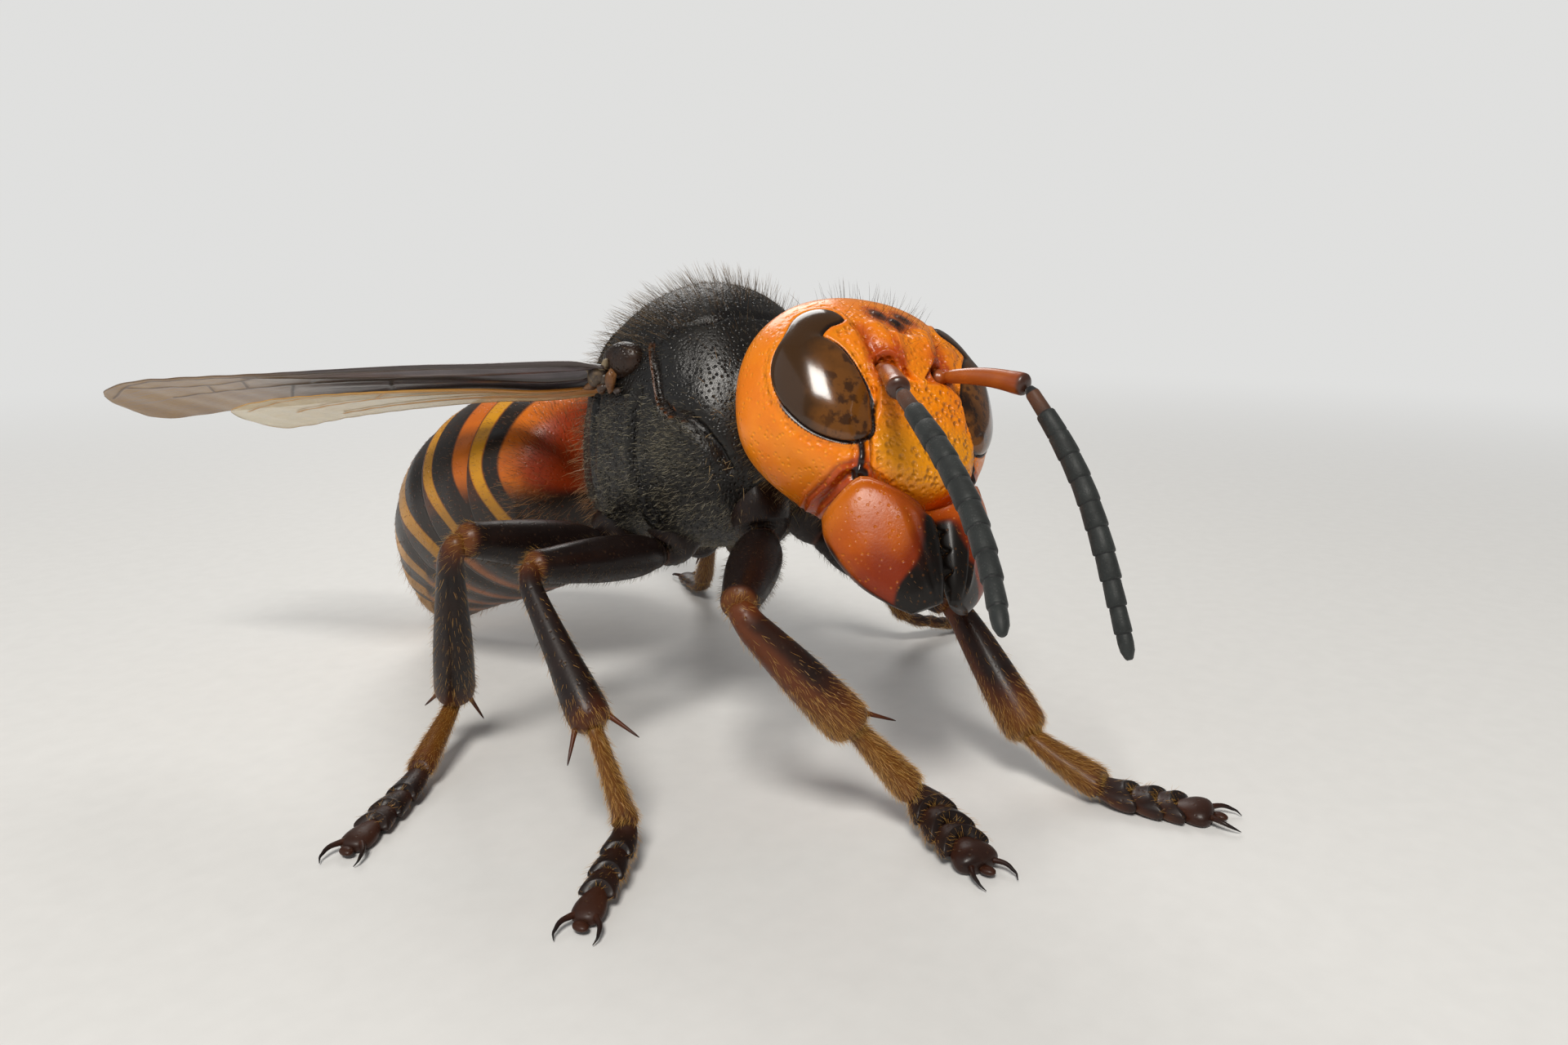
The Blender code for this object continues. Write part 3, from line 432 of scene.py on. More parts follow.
def headSurface(d):
    form = headForm
    p = headBase(d)
    side = np.abs(p[:, 0])
    z = p[:, 2]
    face = np.stack([side, z], 1)
    facing = smoothStep(0.2, 0.6, d[:, 1])
    shieldRim = form["clypeus"] + tuple((-x, y) for x, y in form["clypeus"][-2:0:-1])
    clypeus = insideOutline(side, z, shieldRim)
    clypeus = np.where(facing > 0, clypeus, -3.0)
    gap = eyeReach(d)[0]
    clypeus = np.where(gap < 0.1, -3.0, clypeus)
    rise = form["clypeusRise"] * smoothStep(-0.18, 0.22, clypeus) * facing
    rise -= 0.1 * bump(clypeus, 0.1) * facing * smoothStep(0.3, 0.0, z)
    # shield between the feelers, the lobes beside it and the furrows above the sockets
    shieldHalf = 0.62 * smoothStep(0.15, 1.4, z) + 0.12
    shield = smoothStep(shieldHalf + 0.07, shieldHalf - 0.07, side) * smoothStep(2.9, 2.2, z)
    shield *= smoothStep(-0.1, 0.5, z) * facing
    rise += 0.34 * shield
    rise -= 0.1 * bump(side, 0.11) * smoothStep(1.9, 2.5, z) * smoothStep(3.5, 3.0, z) * facing
    brow = pathDistance(face, form["brow"])
    rise += 0.16 * bump(brow, 0.38) * facing
    furrow = pathDistance(face, form["furrow"])
    rise -= 0.22 * bump(furrow, 0.27) * facing
    pit = np.hypot(side - form["socket"][0], z - form["socket"][1])
    rim = form["socketRadius"]
    rise += (0.13 * bump(pit - rim - 0.08, 0.12) - 0.62 * smoothStep(rim, rim - 0.25, pit)) * facing
    # the eye sits in a shallow seat with a fine rim round it
    rise -= 0.4 * smoothStep(0.02, -0.2, gap)
    rise += 0.05 * bump(gap - 0.1, 0.07) - 0.03 * bump(gap - 0.3, 0.12)
    edgePoint = np.stack([side, p[:, 1], z], 1)
    cheek = pathDistance(edgePoint, form["cheekLine"])
    edge = pathDistance(edgePoint, form["cheekEdge"])
    knob = np.linalg.norm(edgePoint - np.array(form["cheekLine"][-1]), axis=1)
    rise += 0.1 * bump(cheek, 0.13) - 0.07 * bump(cheek - 0.3, 0.11)
    rise += 0.2 * smoothStep(0.36, 0.08, knob)
    rise += 0.08 * bump(edge - 0.3, 0.12) - 0.12 * bump(edge - 0.05, 0.09)
    rise += 0.05 * bump(edge - 0.62, 0.1)
    dots = np.random.default_rng(form["dotSeed"]).uniform((0.0, -4.4), (2.5, 0.5), (form["dots"], 2))
    onFace = np.flatnonzero(clypeus > 0.12)
    nearest = np.full(len(d), 9.0)
    apart = np.hypot(side[onFace][:, None] - dots[None, :, 0], z[onFace][:, None] - dots[None, :, 1])
    nearest[onFace] = apart.min(1)
    rise -= form["dotDepth"] * bump(nearest, form["dotRadius"])
    p = p + headOut(d) * rise[:, None]
    lens = np.full(len(d), 9.0)
    for x, height in form["ocelli"]:
        mound = np.hypot(p[:, 0] - x, z - height) / form["ocellusRadius"]
        p[:, 2] += 0.12 * np.sqrt(np.clip(1.0 - (mound / 1.25) ** 2, 0.0, 1.0)) * facing
        lens = np.minimum(lens, mound)
    ocelli = 0.37 * lens + 9.0 * (d[:, 1] < 0)
    rimWidth = 0.02 + 0.05 * smoothStep(1.2, -0.8, z)
    rimLow = np.where(side < 3.2, smoothStep(2.8, 1.6, z), smoothStep(0.5, -0.6, z))
    lowBorder = smoothStep(0.02, -0.12, clypeus) * smoothStep(-3.25, -3.6, z) * smoothStep(2.75, 2.45, side)
    jawPad = smoothStep(-3.85, -4.2, z) * smoothStep(0.2, 0.5, clypeus + 0.3) * smoothStep(1.1, 0.5, side)
    eyeFoot = np.linalg.norm(edgePoint - np.array(form["eyeFoot"]), axis=1)
    dark = np.maximum.reduce([
        1.25 * bump(cheek, 0.15), smoothStep(0.42, 0.3, knob), smoothStep(0.02, -0.05, gap),
        lowBorder * facing, 0.95 * jawPad * facing, smoothStep(0.5, 0.1, eyeFoot) * (gap > 0),
        0.75 * bump(clypeus - 0.02, 0.07) * facing * smoothStep(0.0, -0.8, z),
        0.72 * smoothStep(1.15, 0.5, ocelli), 0.97 * smoothStep(1.3, 1.0, lens) * facing,
        0.9 * smoothStep(0.5, 0.25, pit) * facing,
        smoothStep(rimWidth + 0.05, rimWidth, gap) * rimLow,
        0.55 * bump(edge, 0.09), 0.4 * bump(edge - 0.5, 0.07),
    ])
    shieldEdge = bump(side - shieldHalf - 0.04, 0.07) * smoothStep(0.3, 0.8, z)
    shieldEdge = shieldEdge * smoothStep(3.1, 2.5, z)
    # red along the furrows and beside the sockets is partly the shell's colour, partly painted shade in these
    # hollows
    red = np.clip(0.45 * bump(furrow, 0.3) * facing + 0.6 * bump(pit - 0.6, 0.35) * facing
                  + 0.4 * shieldEdge * facing + 0.25 * bump(furrow, 0.7) * facing
                  + 0.55 * smoothStep(-1.5, -4.0, z) * smoothStep(0.1, -0.1, clypeus)
                  + 0.6 * bump(edge - 0.15, 0.4) + 0.5 * smoothStep(1.7, 1.0, ocelli)
                  + 0.4 * bump(knob - 0.35, 0.3) + 0.35 * bump(cheek, 0.4)
                  + 0.12 * smoothStep(2.6, 1.2, side) * smoothStep(0.8, 1.6, z) * facing, 0, 1)
    # gold on the clypeus is its colour; the thin gold line along the eye's rim is a painted highlight on the
    # rim's ridge
    gold = np.clip(0.85 * smoothStep(0.0, 0.35, clypeus) * smoothStep(-0.2, -2.4, z) * facing
                   + 0.4 * bump(gap - 0.22, 0.1) * smoothStep(-1.0, 1.0, z), 0, 1)
    dark = np.clip(dark, 0, 1)
    place = np.stack([np.arctan2(d[:, 0], -d[:, 1]) / tau + 0.5, np.arccos(np.clip(d[:, 2], -1, 1)) / np.pi,
                      np.zeros(len(d))], 1)
    coarse = smoothStep(0.0, 0.3, clypeus) * facing + 0.5 * bump(gap - 0.25, 0.2) + 0.35 * facing
    coarse = np.clip(coarse, 0, 1) * (1 - dark)
    bare = smoothStep(0.05, 0.15, gap)
    crown = bump(np.hypot(p[:, 0], z - 4.3), 1.5) * smoothStep(-0.5, 0.1, d[:, 1] + 0.3) * bare
    nape = bump(np.abs(d[:, 1] + 0.55), 0.16) * smoothStep(5.0, 3.5, z) * bare
    lip = bump(clypeus - 0.05, 0.09) * smoothStep(-1.5, -3.2, z) * facing
    face = facing * bare * 0.5 + 0.5 * bump(edge, 0.3)
    back = (d[:, 1:2] < -0.1) | (z[:, None] > 4.0)
    flow = np.where(back, [[0.0, -1.0, 0.0]], [[0.0, 0.15, -1.0]])
    return p, {"dark": dark, "red": red, "gold": gold, "smooth": dark, "coarse": coarse, "skinPlace": place,
               "coatCrown": crown, "coatNape": nape, "coatLip": lip, "coatFace": face, "flow": flow}


headLook = {
    "base": (0.87, 0.245, 0.002), "shade": (0.80, 0.19, 0.0015), "pitScale": 4000.0, "pitSize": 0.4,
    # pitColour here is lighter than the shell: a painted glint in each pit
    "pitTint": 0.4, "pitColour": (0.95, 0.38, 0.01), "roughness": (0.27, 0.38), "bumpDepth": 0.00005,
    "over": {"gold": (0.76, 0.275, 0.003), "red": (0.42, 0.055, 0.002), "dark": (0.012, 0.004, 0.003)},
    "coarse": {"Scale": 3300.0, "Size": 0.55, "Depth": 6.0},
    "shader": {"Specular_IOR_Level": 0.36, "Coat_Weight": 0.16, "Coat_Roughness": 0.12},
}
headPaint = shellPaint("headShell", headLook)
directions, faces = cubeSphere(headForm["cells"])
points, fields = headSurface(directions)
headSkin = makePiece("headSkin", points, faces.tolist(), headPaint, headPlace, fields)
print("head", len(points))


def eyeSurface(side):
    # a grid of directions round the eye, kept where it is inside the outline
    rows, columns = eyeForm["cells"]
    centre = unit(np.array([eyeForm["middle"]]))[0]
    up = unit(np.cross(centre, np.cross([0.0, 0.0, 1.0], centre))[None])[0]
    right = np.cross(up, centre)
    tall, wide = np.linspace(*eyeForm["tall"], rows + 1), np.linspace(*eyeForm["wide"], columns + 1)
    a, b = np.meshgrid(tall, wide, indexing="ij")
    d = unit((centre + a[..., None] * up + b[..., None] * right).reshape(-1, 3))
    gap, ratio, size = eyeReach(d)
    lift = eyeForm["bulge"] * np.minimum(1.0, size) * np.sqrt(np.clip(1.0 - ratio ** 2, 0.0, 1.0))
    lift -= 0.5 * smoothStep(0.0, 0.18, gap)
    points = headBase(d) + headOut(d) * lift[:, None]
    index = np.arange((rows + 1) * (columns + 1)).reshape(rows + 1, columns + 1)
    quads = np.stack([index[:-1, :-1], index[1:, :-1], index[1:, 1:], index[:-1, 1:]], -1).reshape(-1, 4)
    quads = quads[(gap[quads] < 0.2).all(1)]
    used, again = np.unique(quads, return_inverse=True)
    points, quads = points[used], again.reshape(quads.shape)
    points[:, 0] *= side
    inner = smoothStep(-0.2, 0.2, b.ravel() - 0.15 * a.ravel()) * smoothStep(0.5, 0.1, a.ravel())
    fields = {"rim": smoothStep(-0.11, -0.03, gap[used]), "inner": inner[used],
              "skinPlace": np.stack([a.ravel()[used], b.ravel()[used], 0 * used], 1)}
    return points, quads.tolist(), fields


def closePatch(piece, toward):
    # close an open patch by pulling its rim to a point inside
    sheet = bmesh.new()
    sheet.from_mesh(piece.data)
    rim = [e for e in sheet.edges if e.is_boundary]
    for v in bmesh.ops.extrude_edge_only(sheet, edges=rim)["geom"]:
        if isinstance(v, bmesh.types.BMVert):
            v.co = v.co.lerp(toward, 0.15)
    rim = [e for e in sheet.edges if e.is_boundary]
    bmesh.ops.holes_fill(sheet, edges=rim, sides=0)
    bmesh.ops.recalc_face_normals(sheet, faces=sheet.faces[:])
    for f in sheet.faces:
        f.smooth = True
    sheet.to_mesh(piece.data)
    sheet.free()


eyeLook = {
    "deep": (0.045, 0.019, 0.005), "pale": (0.14, 0.05, 0.008), "spots": (0.022, 0.008, 0.003),
    "rim": (0.008, 0.003, 0.002), "facets": 26000.0, "roughness": 0.15,
}


def eyePaintOf(look):
    # dark brown, paler and spotted towards the face, under a clear lens skin
    paint, tree, shader = newPaint("compoundEye", Roughness=look["roughness"], Coat_Weight=0.2,
                                   Coat_Roughness=0.06, Specular_IOR_Level=0.4)
    place = objectPlace(tree)
    mottle = useGroup(tree, mottleGroup, {"Place": place, "Scale": 1900.0})["Mottle"]
    broad = useGroup(tree, mottleGroup, {"Place": place, "Scale": 500.0})["Mottle"]
    inner = sumOf(tree, "ADD", field(tree, "inner"), sumOf(tree, "MULTIPLY", broad, 0.4))
    colour = blendColours(tree, remap(tree, inner, 0.1, 0.9), (*look["deep"], 1), (*look["pale"], 1))
    spots = sumOf(tree, "MULTIPLY", remap(tree, mottle, -0.1, 0.5, 0.0, 0.8), field(tree, "inner"))
    colour = blendColours(tree, spots, colour, (*look["spots"], 1))
    colour = blendColours(tree, field(tree, "rim"), colour, (*look["rim"], 1))
    tree.links.new(colour, shader.inputs["Base Color"])
    cells = wire(tree, "ShaderNodeTexVoronoi", {"Vector": place, "Scale": look["facets"]},
                 feature="SMOOTH_F1")
    dent = wire(tree, "ShaderNodeBump", {"Height": cells.outputs["Distance"], "Strength": 0.12,
                                         "Distance": 0.00001})
    tree.links.new(dent.outputs[0], shader.inputs["Normal"])
    return paint


eyePaint = eyePaintOf(eyeLook)
headCore = headPlace.translation * mm
eyes = {}
for sideName, sign in sides:
    points, quads, fields = eyeSurface(sign)
    eyes[sideName] = makePiece("compoundEye_" + sideName, points, quads, eyePaint, headPlace, fields)
    closePatch(eyes[sideName], headCore)
print("eyes")


# Jaws: broad plates that meet on the midline, black and toothed along the inner edge
jawForm = {
    "sections": ((0.00, 1.98, 1.30, -3.85, 1.95, 1.20), (0.18, 1.95, 1.45, -4.70, 2.05, 1.15),
                 (0.45, 1.80, 1.70, -5.90, 1.95, 0.95), (0.72, 1.47, 1.95, -7.10, 1.60, 0.72),
                 (0.90, 1.08, 2.15, -8.00, 1.10, 0.50), (1.00, 0.75, 2.25, -8.60, 0.62, 0.25)),
    "sweep": 32.0, "middleGap": 0.06, "rings": 90, "around": 72,
    "teeth": ((0.52, 0.16), (0.68, 0.2), (0.83, 0.2), (0.94, 0.12)),     # place along the edge, depth
    "blackEdge": ((0.0, -1.0), (0.2, -0.9), (0.45, -0.66), (0.7, -0.3), (0.86, 0.55), (1.0, 1.6)),
    "peak": (0.15, 0.72, 1.15, 0.6),   # across, height, fall to the outside, more fall to the inside
}
# the jaw colours are kept dark: partly their own orange-red, partly painted shade
jawLook = {
    "base": (0.44, 0.085, 0.0015), "shade": (0.36, 0.055, 0.001), "pitScale": 3900.0, "pitSize": 0.3,
    # pitColour here is lighter than the shell: a painted glint in each pit
    "pitTint": 0.35, "pitColour": (0.8, 0.25, 0.01), "roughness": (0.3, 0.42), "bumpDepth": 0.00005,
    "over": {"gold": (0.54, 0.13, 0.0015), "red": (0.2, 0.02, 0.001), "dark": (0.006, 0.004, 0.003)},
    "edgeNoise": 0.2, "shader": {"Specular_IOR_Level": 0.28, "Coat_Weight": 0.08, "Coat_Roughness": 0.15},
}


def jawSurface(side):
    form = jawForm
    t = np.linspace(0.0, 1.0, form["rings"])
    x, y, z, wide, thick = through(form["sections"], t).T[:, :, None]
    a = (np.arange(form["around"]) / form["around"] * tau)[None]
    cosine, sine = np.cos(a), np.sin(a)
    across = np.abs(cosine) ** 0.75 * np.sign(cosine)
    lift = np.abs(sine) ** 0.85 * np.sign(sine)
    t = t[:, None] + 0.0 * a
    across = across + 0.0 * t
    ridge = 0.05 * (bump(across + 0.42, 0.07) - bump(across + 0.56, 0.06) + bump(across + 0.68, 0.05))
    ridge = ridge * smoothStep(0.12, 0.35, t) * smoothStep(0.98, 0.85, t) * (sine > 0)
    u, v = wide * across, thick * (lift + 0.0 * t) + ridge * 1.6
    v = v - 0.1 * bump(t - 0.03, 0.04) * (sine > 0)
    sweep = radians(form["sweep"])
    notch = sum(depth * bump(t - place, 0.028) for place, depth in form["teeth"])
    inner = form["middleGap"] + notch
    px = np.maximum(inner, x + u * np.cos(sweep) + v * np.sin(sweep))
    peak, height, fall, more = form["peak"]
    fall = fall + more * smoothStep(peak + 0.2, peak - 0.3, across)
    top = (height - fall * np.sqrt((across - peak) ** 2 + 0.03)) * smoothStep(0.5, 0.0, t)
    rings = np.stack([side * px, y - u * np.sin(sweep) + v * np.cos(sweep), z - 0.25 * u + top], -1)
    black = through(form["blackEdge"], t.ravel())[:, 0].reshape(t.shape) - (0.25 if side < 0 else 0.05)
    dark = smoothStep(0.2, -0.2, across - black)
    dark = np.maximum(dark, 0.3 * smoothStep(0.05, 0.0, t))
    dark = np.maximum(dark, 0.8 * smoothStep(0.93, 1.0, across) * smoothStep(0.1, 0.4, t))
    gold = 0.7 * smoothStep(0.45, 0.02, t) * smoothStep(-0.4, 0.4, across)
    red = 0.9 * smoothStep(0.25, 0.85, t) + 0.5 * smoothStep(0.5, 0.0, across - black)
    place = np.stack([a / tau + 0 * t, t, 0 * t], -1)
    coat = 0.3 + 0.7 * smoothStep(0.2, -0.1, across - black) * smoothStep(0.2, 0.5, t)
    return closedRings(rings, {"dark": dark, "gold": gold, "red": np.clip(red, 0, 1), "smooth": 0.75 * dark,
                               "skinPlace": place, "coatJaw": coat * (sine > -0.3)})


# Feelers: a long first joint from the socket, then a whip of short ones
feelerForm = {
    "right": {"root": (1.25, 2.3, 1.0), "knee": (3.6, 6.1, -1.7),
              "whip": ((3.9, 8.5, -5.4), (4.15, 9.8, -8.5), (5.0, 10.8, -11.6))},
    "left": {"root": (-1.25, 2.3, 1.0), "knee": (-2.52, 6.16, -0.81),
             "whip": ((-3.38, 6.9, -3.9), (-3.7, 7.2, -6.9), (-4.14, 6.98, -11.6))},
    "scape": ((0.0, 0.24), (0.04, 0.33), (0.08, 0.36), (0.13, 0.22), (0.2, 0.27), (0.45, 0.34),
              (0.8, 0.41), (0.92, 0.44), (0.98, 0.4), (1.0, 0.2)),
    "joints": 11, "bow": 0.35,
    "joint": ((0.015, 0.88), (0.07, 0.95), (0.35, 0.97), (0.65, 1.0), (0.93, 1.02), (0.985, 0.97)),
}
scapeLook = {
    "base": (0.42, 0.105, 0.014), "shade": (0.27, 0.052, 0.008), "pitScale": 5200.0, "pitSize": 0.3,
    "pitTint": 0.15, "roughness": (0.24, 0.38), "bumpDepth": 0.00001,
    "over": {"dark": (0.05, 0.018, 0.01)}, "shader": {"Coat_Weight": 0.15, "Coat_Roughness": 0.15},
}
whipLook = {
    "base": (0.02, 0.0235, 0.0225), "shade": (0.011, 0.013, 0.0125), "mottleScale": 1500.0,
    "pitScale": 9000.0, "pitSize": 0.4, "pitTint": 0.3, "pitColour": (0.045, 0.05, 0.048),
    "roughness": (0.5, 0.68), "bumpDepth": 0.000012,
    "over": {"warm": (0.1, 0.035, 0.014), "dark": (0.008, 0.008, 0.009)},
    "shader": {"Sheen_Weight": 0.12, "Sheen_Roughness": 0.5, "Specular_IOR_Level": 0.35},
}


def scapeSurface(side):
    spec = feelerForm[side]
    root, knee = np.array(spec["root"]), np.array(spec["knee"])
    middle = (root + knee) / 2 + np.array([0, 0, feelerForm["bow"]])
    rings, share, angle = tubeRings([root, middle, knee], feelerForm["scape"], 32, 70, 1.2)
    dark = 0.9 * smoothStep(0.9, 1.0, share) + 0.85 * smoothStep(0.13, 0.02, share)
    # painted shade: the right first joint is darker all along than the left one
    if side == "right":
        dark = np.maximum(dark, 0.4)
    dark = np.clip(dark, 0, 1)[:, None]
    place = np.stack(np.broadcast_arrays(angle[None] / tau, share[:, None], 0.0), -1)
    return closedRings(rings, {"dark": dark + 0 * angle, "smooth": 0.5 + 0 * dark, "skinPlace": place})


def whipSurface(side):
    spec = feelerForm[side]
    count = feelerForm["joints"]
    line = [spec["knee"]] + list(spec["whip"])
    steps, radii, warm, seam = [0.012], [0.16], [1.0], [1.0]
    for k in range(count):
        start, end = 0.03 + 0.97 * k / count, 0.03 + 0.97 * (k + 1) / count
        full = 0.29 + 0.135 * smoothStep(0, 1, k / 1.5) - 0.14 * smoothStep(5, 11, k)
        for share, size in feelerForm["joint"]:
            if k == count - 1:
                size *= np.sqrt(max(0.03, 1.0 - max(0.0, share - 0.3) ** 2 * 1.9))
            steps.append(start + (end - start) * share)
            radii.append(full * size)
            warm.append(smoothStep(1.4, 0.0, k + 0.6 * share))
            seam.append(1.0 if share == 0.015 else 0.0)
    steps, radii = np.array(steps), np.array(radii)
    rings, share, angle = tubeRings(line, np.stack([steps, radii], 1), 28, steps, 1.6)
    place = np.stack(np.broadcast_arrays(angle[None] / tau, share[:, None], 0.0), -1)
    return closedRings(rings, {"warm": 0.8 * np.array(warm)[:, None] + 0 * angle,
                               "dark": 0.9 * np.array(seam)[:, None] + 0 * angle,
                               "smooth": 0.0 + 0 * angle, "skinPlace": place})


# Thorax: rings along the body, with the seams of its plates sunk in
thoraxForm = {
    "stations": ((-6.3, 0.8, -1.9, -3.6), (-6.0, 2.0, -0.6, -4.4), (-5.5, 3.3, 1.2, -5.0),
                 (-4.9, 4.1, 3.3, -5.4), (-4.3, 4.5, 4.5, -5.6), (-3.4, 4.9, 5.2, -5.8),
                 (-2.2, 5.2, 5.75, -6.0), (-0.8, 5.4, 6.1, -6.1), (0.8, 5.4, 6.15, -6.1),
                 (2.2, 5.2, 5.7, -5.8), (3.4, 4.8, 4.7, -5.2), (4.4, 4.1, 3.4, -4.2),
                 (5.2, 3.1, 2.2, -2.9), (5.8, 2.1, 1.4, -1.6), (6.2, 1.1, 0.9, -0.5)),
    "rings": 230, "around": 250,
    "collarSeam": ((0.0, 3.95, 4.1), (0.93, 3.88, 4.0), (3.24, 3.04, 3.79), (4.38, 1.38, 3.25),
                   (4.5, 0.7, 2.88)),
    "cheekSeam": ((4.5, 0.7, 2.88), (5.01, 1.25, 1.71), (5.21, 1.58, 0.43), (5.16, 2.16, -0.16),
                  (4.93, 3.02, -0.49), (4.74, 3.5, -0.98), (4.39, 4.02, -1.89), (3.97, 4.16, -2.77)),
    "flankSeam": ((5.22, 0.38, 0.93), (5.39, 0.1, -0.47), (5.41, -0.13, -1.87), (5.11, -0.08, -3.31),
                  (4.08, -0.52, -4.78)),
    "rearSeam": ((4.9, -2.6, 1.6), (4.9, -2.9, -0.5), (4.6, -3.1, -2.8), (3.6, -3.4, -4.6)),
    "backLine": ((2.1, 2.6), (2.0, 0.6), (1.8, -2.2)),
}
thoraxLook = {
    "base": (0.0045, 0.0038, 0.0036), "shade": (0.009, 0.0075, 0.006), "pitScale": 5200.0, "pitSize": 0.45,
    "pitTint": 0.3, "pitColour": (0.002, 0.002, 0.002), "roughness": (0.26, 0.38), "bump": 0.9,
    "bumpDepth": 0.00007, "grain": 0.6,
    "over": {"pile": (0.022, 0.019, 0.013), "rust": (0.4, 0.11, 0.008), "dark": (0.003, 0.002, 0.002)},
    "shader": {"Specular_IOR_Level": 0.36},
}


def shieldRidge(z):
    # the raised plate of the neck ends along this line, seen from the side
    return np.interp(z, [-3, -1, 0.4, 2.9, 3.9], [4.2, 3.5, 1.7, 0.8, 3.2]) + 0.1


def thoraxSurface():
    form = thoraxForm
    station = np.linspace(form["stations"][0][0], form["stations"][-1][0], form["rings"])
    angle = np.arange(form["around"]) / form["around"] * tau
    half, top, bottom = through(form["stations"], station).T[:, :, None]
    y = station[:, None] + 0 * angle
    middle = 0.62 * bottom + 0.38 * top
    up, across = np.sin(angle)[None] + 0 * y, np.cos(angle)[None] + 0 * y
    high = np.where(up > 0, top - middle, middle - bottom)
    power = (np.abs(across) ** 2.25 + np.abs(up) ** 2.25) ** (-1 / 2.25)
    x, z = half * power * across, middle + high * power * up
    points = np.stack([x, y, z], -1).reshape(-1, 3)
    folded = np.abs(points) * [1, 0, 0] + points * [0, 1, 1]
    side = np.abs(across).ravel()
    yFlat, upFlat = y.ravel(), up.ravel()
    collar = pathDistance(folded, form["collarSeam"])
    cheek = pathDistance(folded, form["cheekSeam"])
    flank = pathDistance(folded, form["flankSeam"])
    rear = pathDistance(folded, form["rearSeam"])
    backLine = np.where(upFlat > 0.3, pathDistance(folded[:, :2], form["backLine"]), 9.0)
    shieldFront = yFlat + 2.9 + 0.5 * side
    depth = 0.22 * bump(collar, 0.15) + 0.24 * bump(cheek, 0.17)
    depth += 0.24 * bump(flank, 0.16) + 0.24 * bump(rear, 0.16)
    depth -= 0.07 * bump(flank - 0.45, 0.25) + 0.07 * bump(rear - 0.45, 0.25)
    depth += 0.3 * bump(shieldFront, 0.2) * smoothStep(0.3, 0.6, upFlat)
    depth += 0.25 * bump(yFlat + 4.5, 0.17) * smoothStep(0.1, 0.4, upFlat)
    depth += 0.2 * bump(yFlat + 5.15, 0.14) * smoothStep(0.1, 0.4, upFlat)
    depth -= 0.12 * bump(yFlat + 3.7, 0.55) * smoothStep(0.5, 0.8, upFlat)
    depth += 0.07 * bump(backLine, 0.12)
    frontLine = smoothStep(3.9, 3.4, yFlat) * smoothStep(1.6, 2.2, yFlat) * (upFlat > 0)
    rearLine = smoothStep(-3.0, -3.4, yFlat) * smoothStep(-4.6, -4.2, yFlat) * (upFlat > 0)
    depth += 0.08 * bump(points[:, 0], 0.12) * frontLine + 0.12 * bump(points[:, 0], 0.25) * rearLine
    lobeRise = smoothStep(0.0, 0.6, cheek) * smoothStep(2.0, 0.8, cheek)
    depth -= 0.14 * lobeRise * (yFlat > 1.4) * (upFlat > -0.3)
    rim = np.maximum(bump(yFlat - 4.66, 0.08), 0.6 * bump(yFlat - 4.92, 0.07))
    rim = rim * smoothStep(0.2, 1.3, points[:, 2])
    ridge = bump(cheek - 0.2, 0.05) * smoothStep(-0.9, -0.3, points[:, 2])
    ridge = ridge * (yFlat < shieldRidge(points[:, 2]))
    depth -= 0.1 * rim + 0.05 * ridge
    middleFlat = (middle + 0 * y).ravel()
    shrink = 1.0 - depth / np.maximum(2.0, np.hypot(points[:, 0], points[:, 2] - middleFlat))
    points[:, 0] *= shrink
    points[:, 2] = middleFlat + (points[:, 2] - middleFlat) * shrink
    seam = np.clip(bump(collar, 0.14) + bump(cheek, 0.14) + bump(flank, 0.14) + bump(rear, 0.14)
                   + bump(shieldFront, 0.16) * (upFlat > 0.4), 0, 1)
    lobe = smoothStep(-0.05, 0.35, yFlat - shieldRidge(points[:, 2]) + 0.2)
    flankPile = smoothStep(1.6, -0.2, points[:, 2]) * smoothStep(4.2, 2.8, yFlat)
    flankPile *= smoothStep(0.1, 0.4, cheek) * (1.0 - 0.85 * lobe)
    wave = np.sin(2.3 * yFlat + 1.1 * points[:, 2]) * np.sin(1.9 * points[:, 2] - 0.9 * yFlat + 0.6)
    patchy = 0.45 + 0.3 * wave + 0.55 * bump(np.hypot(yFlat - 1.9, points[:, 2] + 1.6), 1.6)
    flankPile *= np.clip(patchy, 0.12, 1.0)
    flankPile *= (1.0 - 0.9 * bump(flank, 0.2)) * (1.0 - 0.9 * bump(rear, 0.2))
    topHair = smoothStep(0.35, 0.6, upFlat) * (1.0 - 0.9 * lobe) * smoothStep(0.02, 0.15, collar)
    frontHair = lobe * 0.5 + 0.5 * smoothStep(3.6, 4.4, yFlat)
    seamHair = bump(cheek - 0.14, 0.06) * smoothStep(-0.9, -0.3, points[:, 2])
    besideTop = smoothStep(1.5, 3.0, np.abs(points[:, 0]))
    seamHair = np.maximum(seamHair, 0.6 * bump(collar - 0.1, 0.05) * besideTop)
    collarHair = smoothStep(3.1, 3.9, yFlat) * smoothStep(4.6, 4.3, yFlat)
    collarHair = collarHair * smoothStep(2.2, 1.0, points[:, 2])
    rearHair = smoothStep(-3.8, -5.0, yFlat) * smoothStep(-6.1, -5.8, yFlat)
    fields = {
        "dark": 0.9 * seam, "pile": 0.6 * flankPile * (1 - seam),
        "rust": np.clip(0.42 * rim + 0.42 * ridge, 0, 1),
        "smooth": 0.5 * lobe + 0.3 * seam, "coatTop": topHair, "coatFlank": flankPile,
        "coatFront": frontHair, "coatSeam": seamHair, "coatRear": rearHair, "coatCollar": collarHair,
    }
    shape = y.shape
    fields = {key: values.reshape(shape) for key, values in fields.items()}
    fields["skinPlace"] = np.stack(np.broadcast_arrays(angle[None] / tau, (y - station[0]) / 12.5, 0.0), -1)
    points, faces, fields = closedRings(points.reshape(shape + (3,)), fields)
    fields["flow"] = -fields["flow"]               # the rings run forwards, and the hairs lie back
    return points, faces, fields


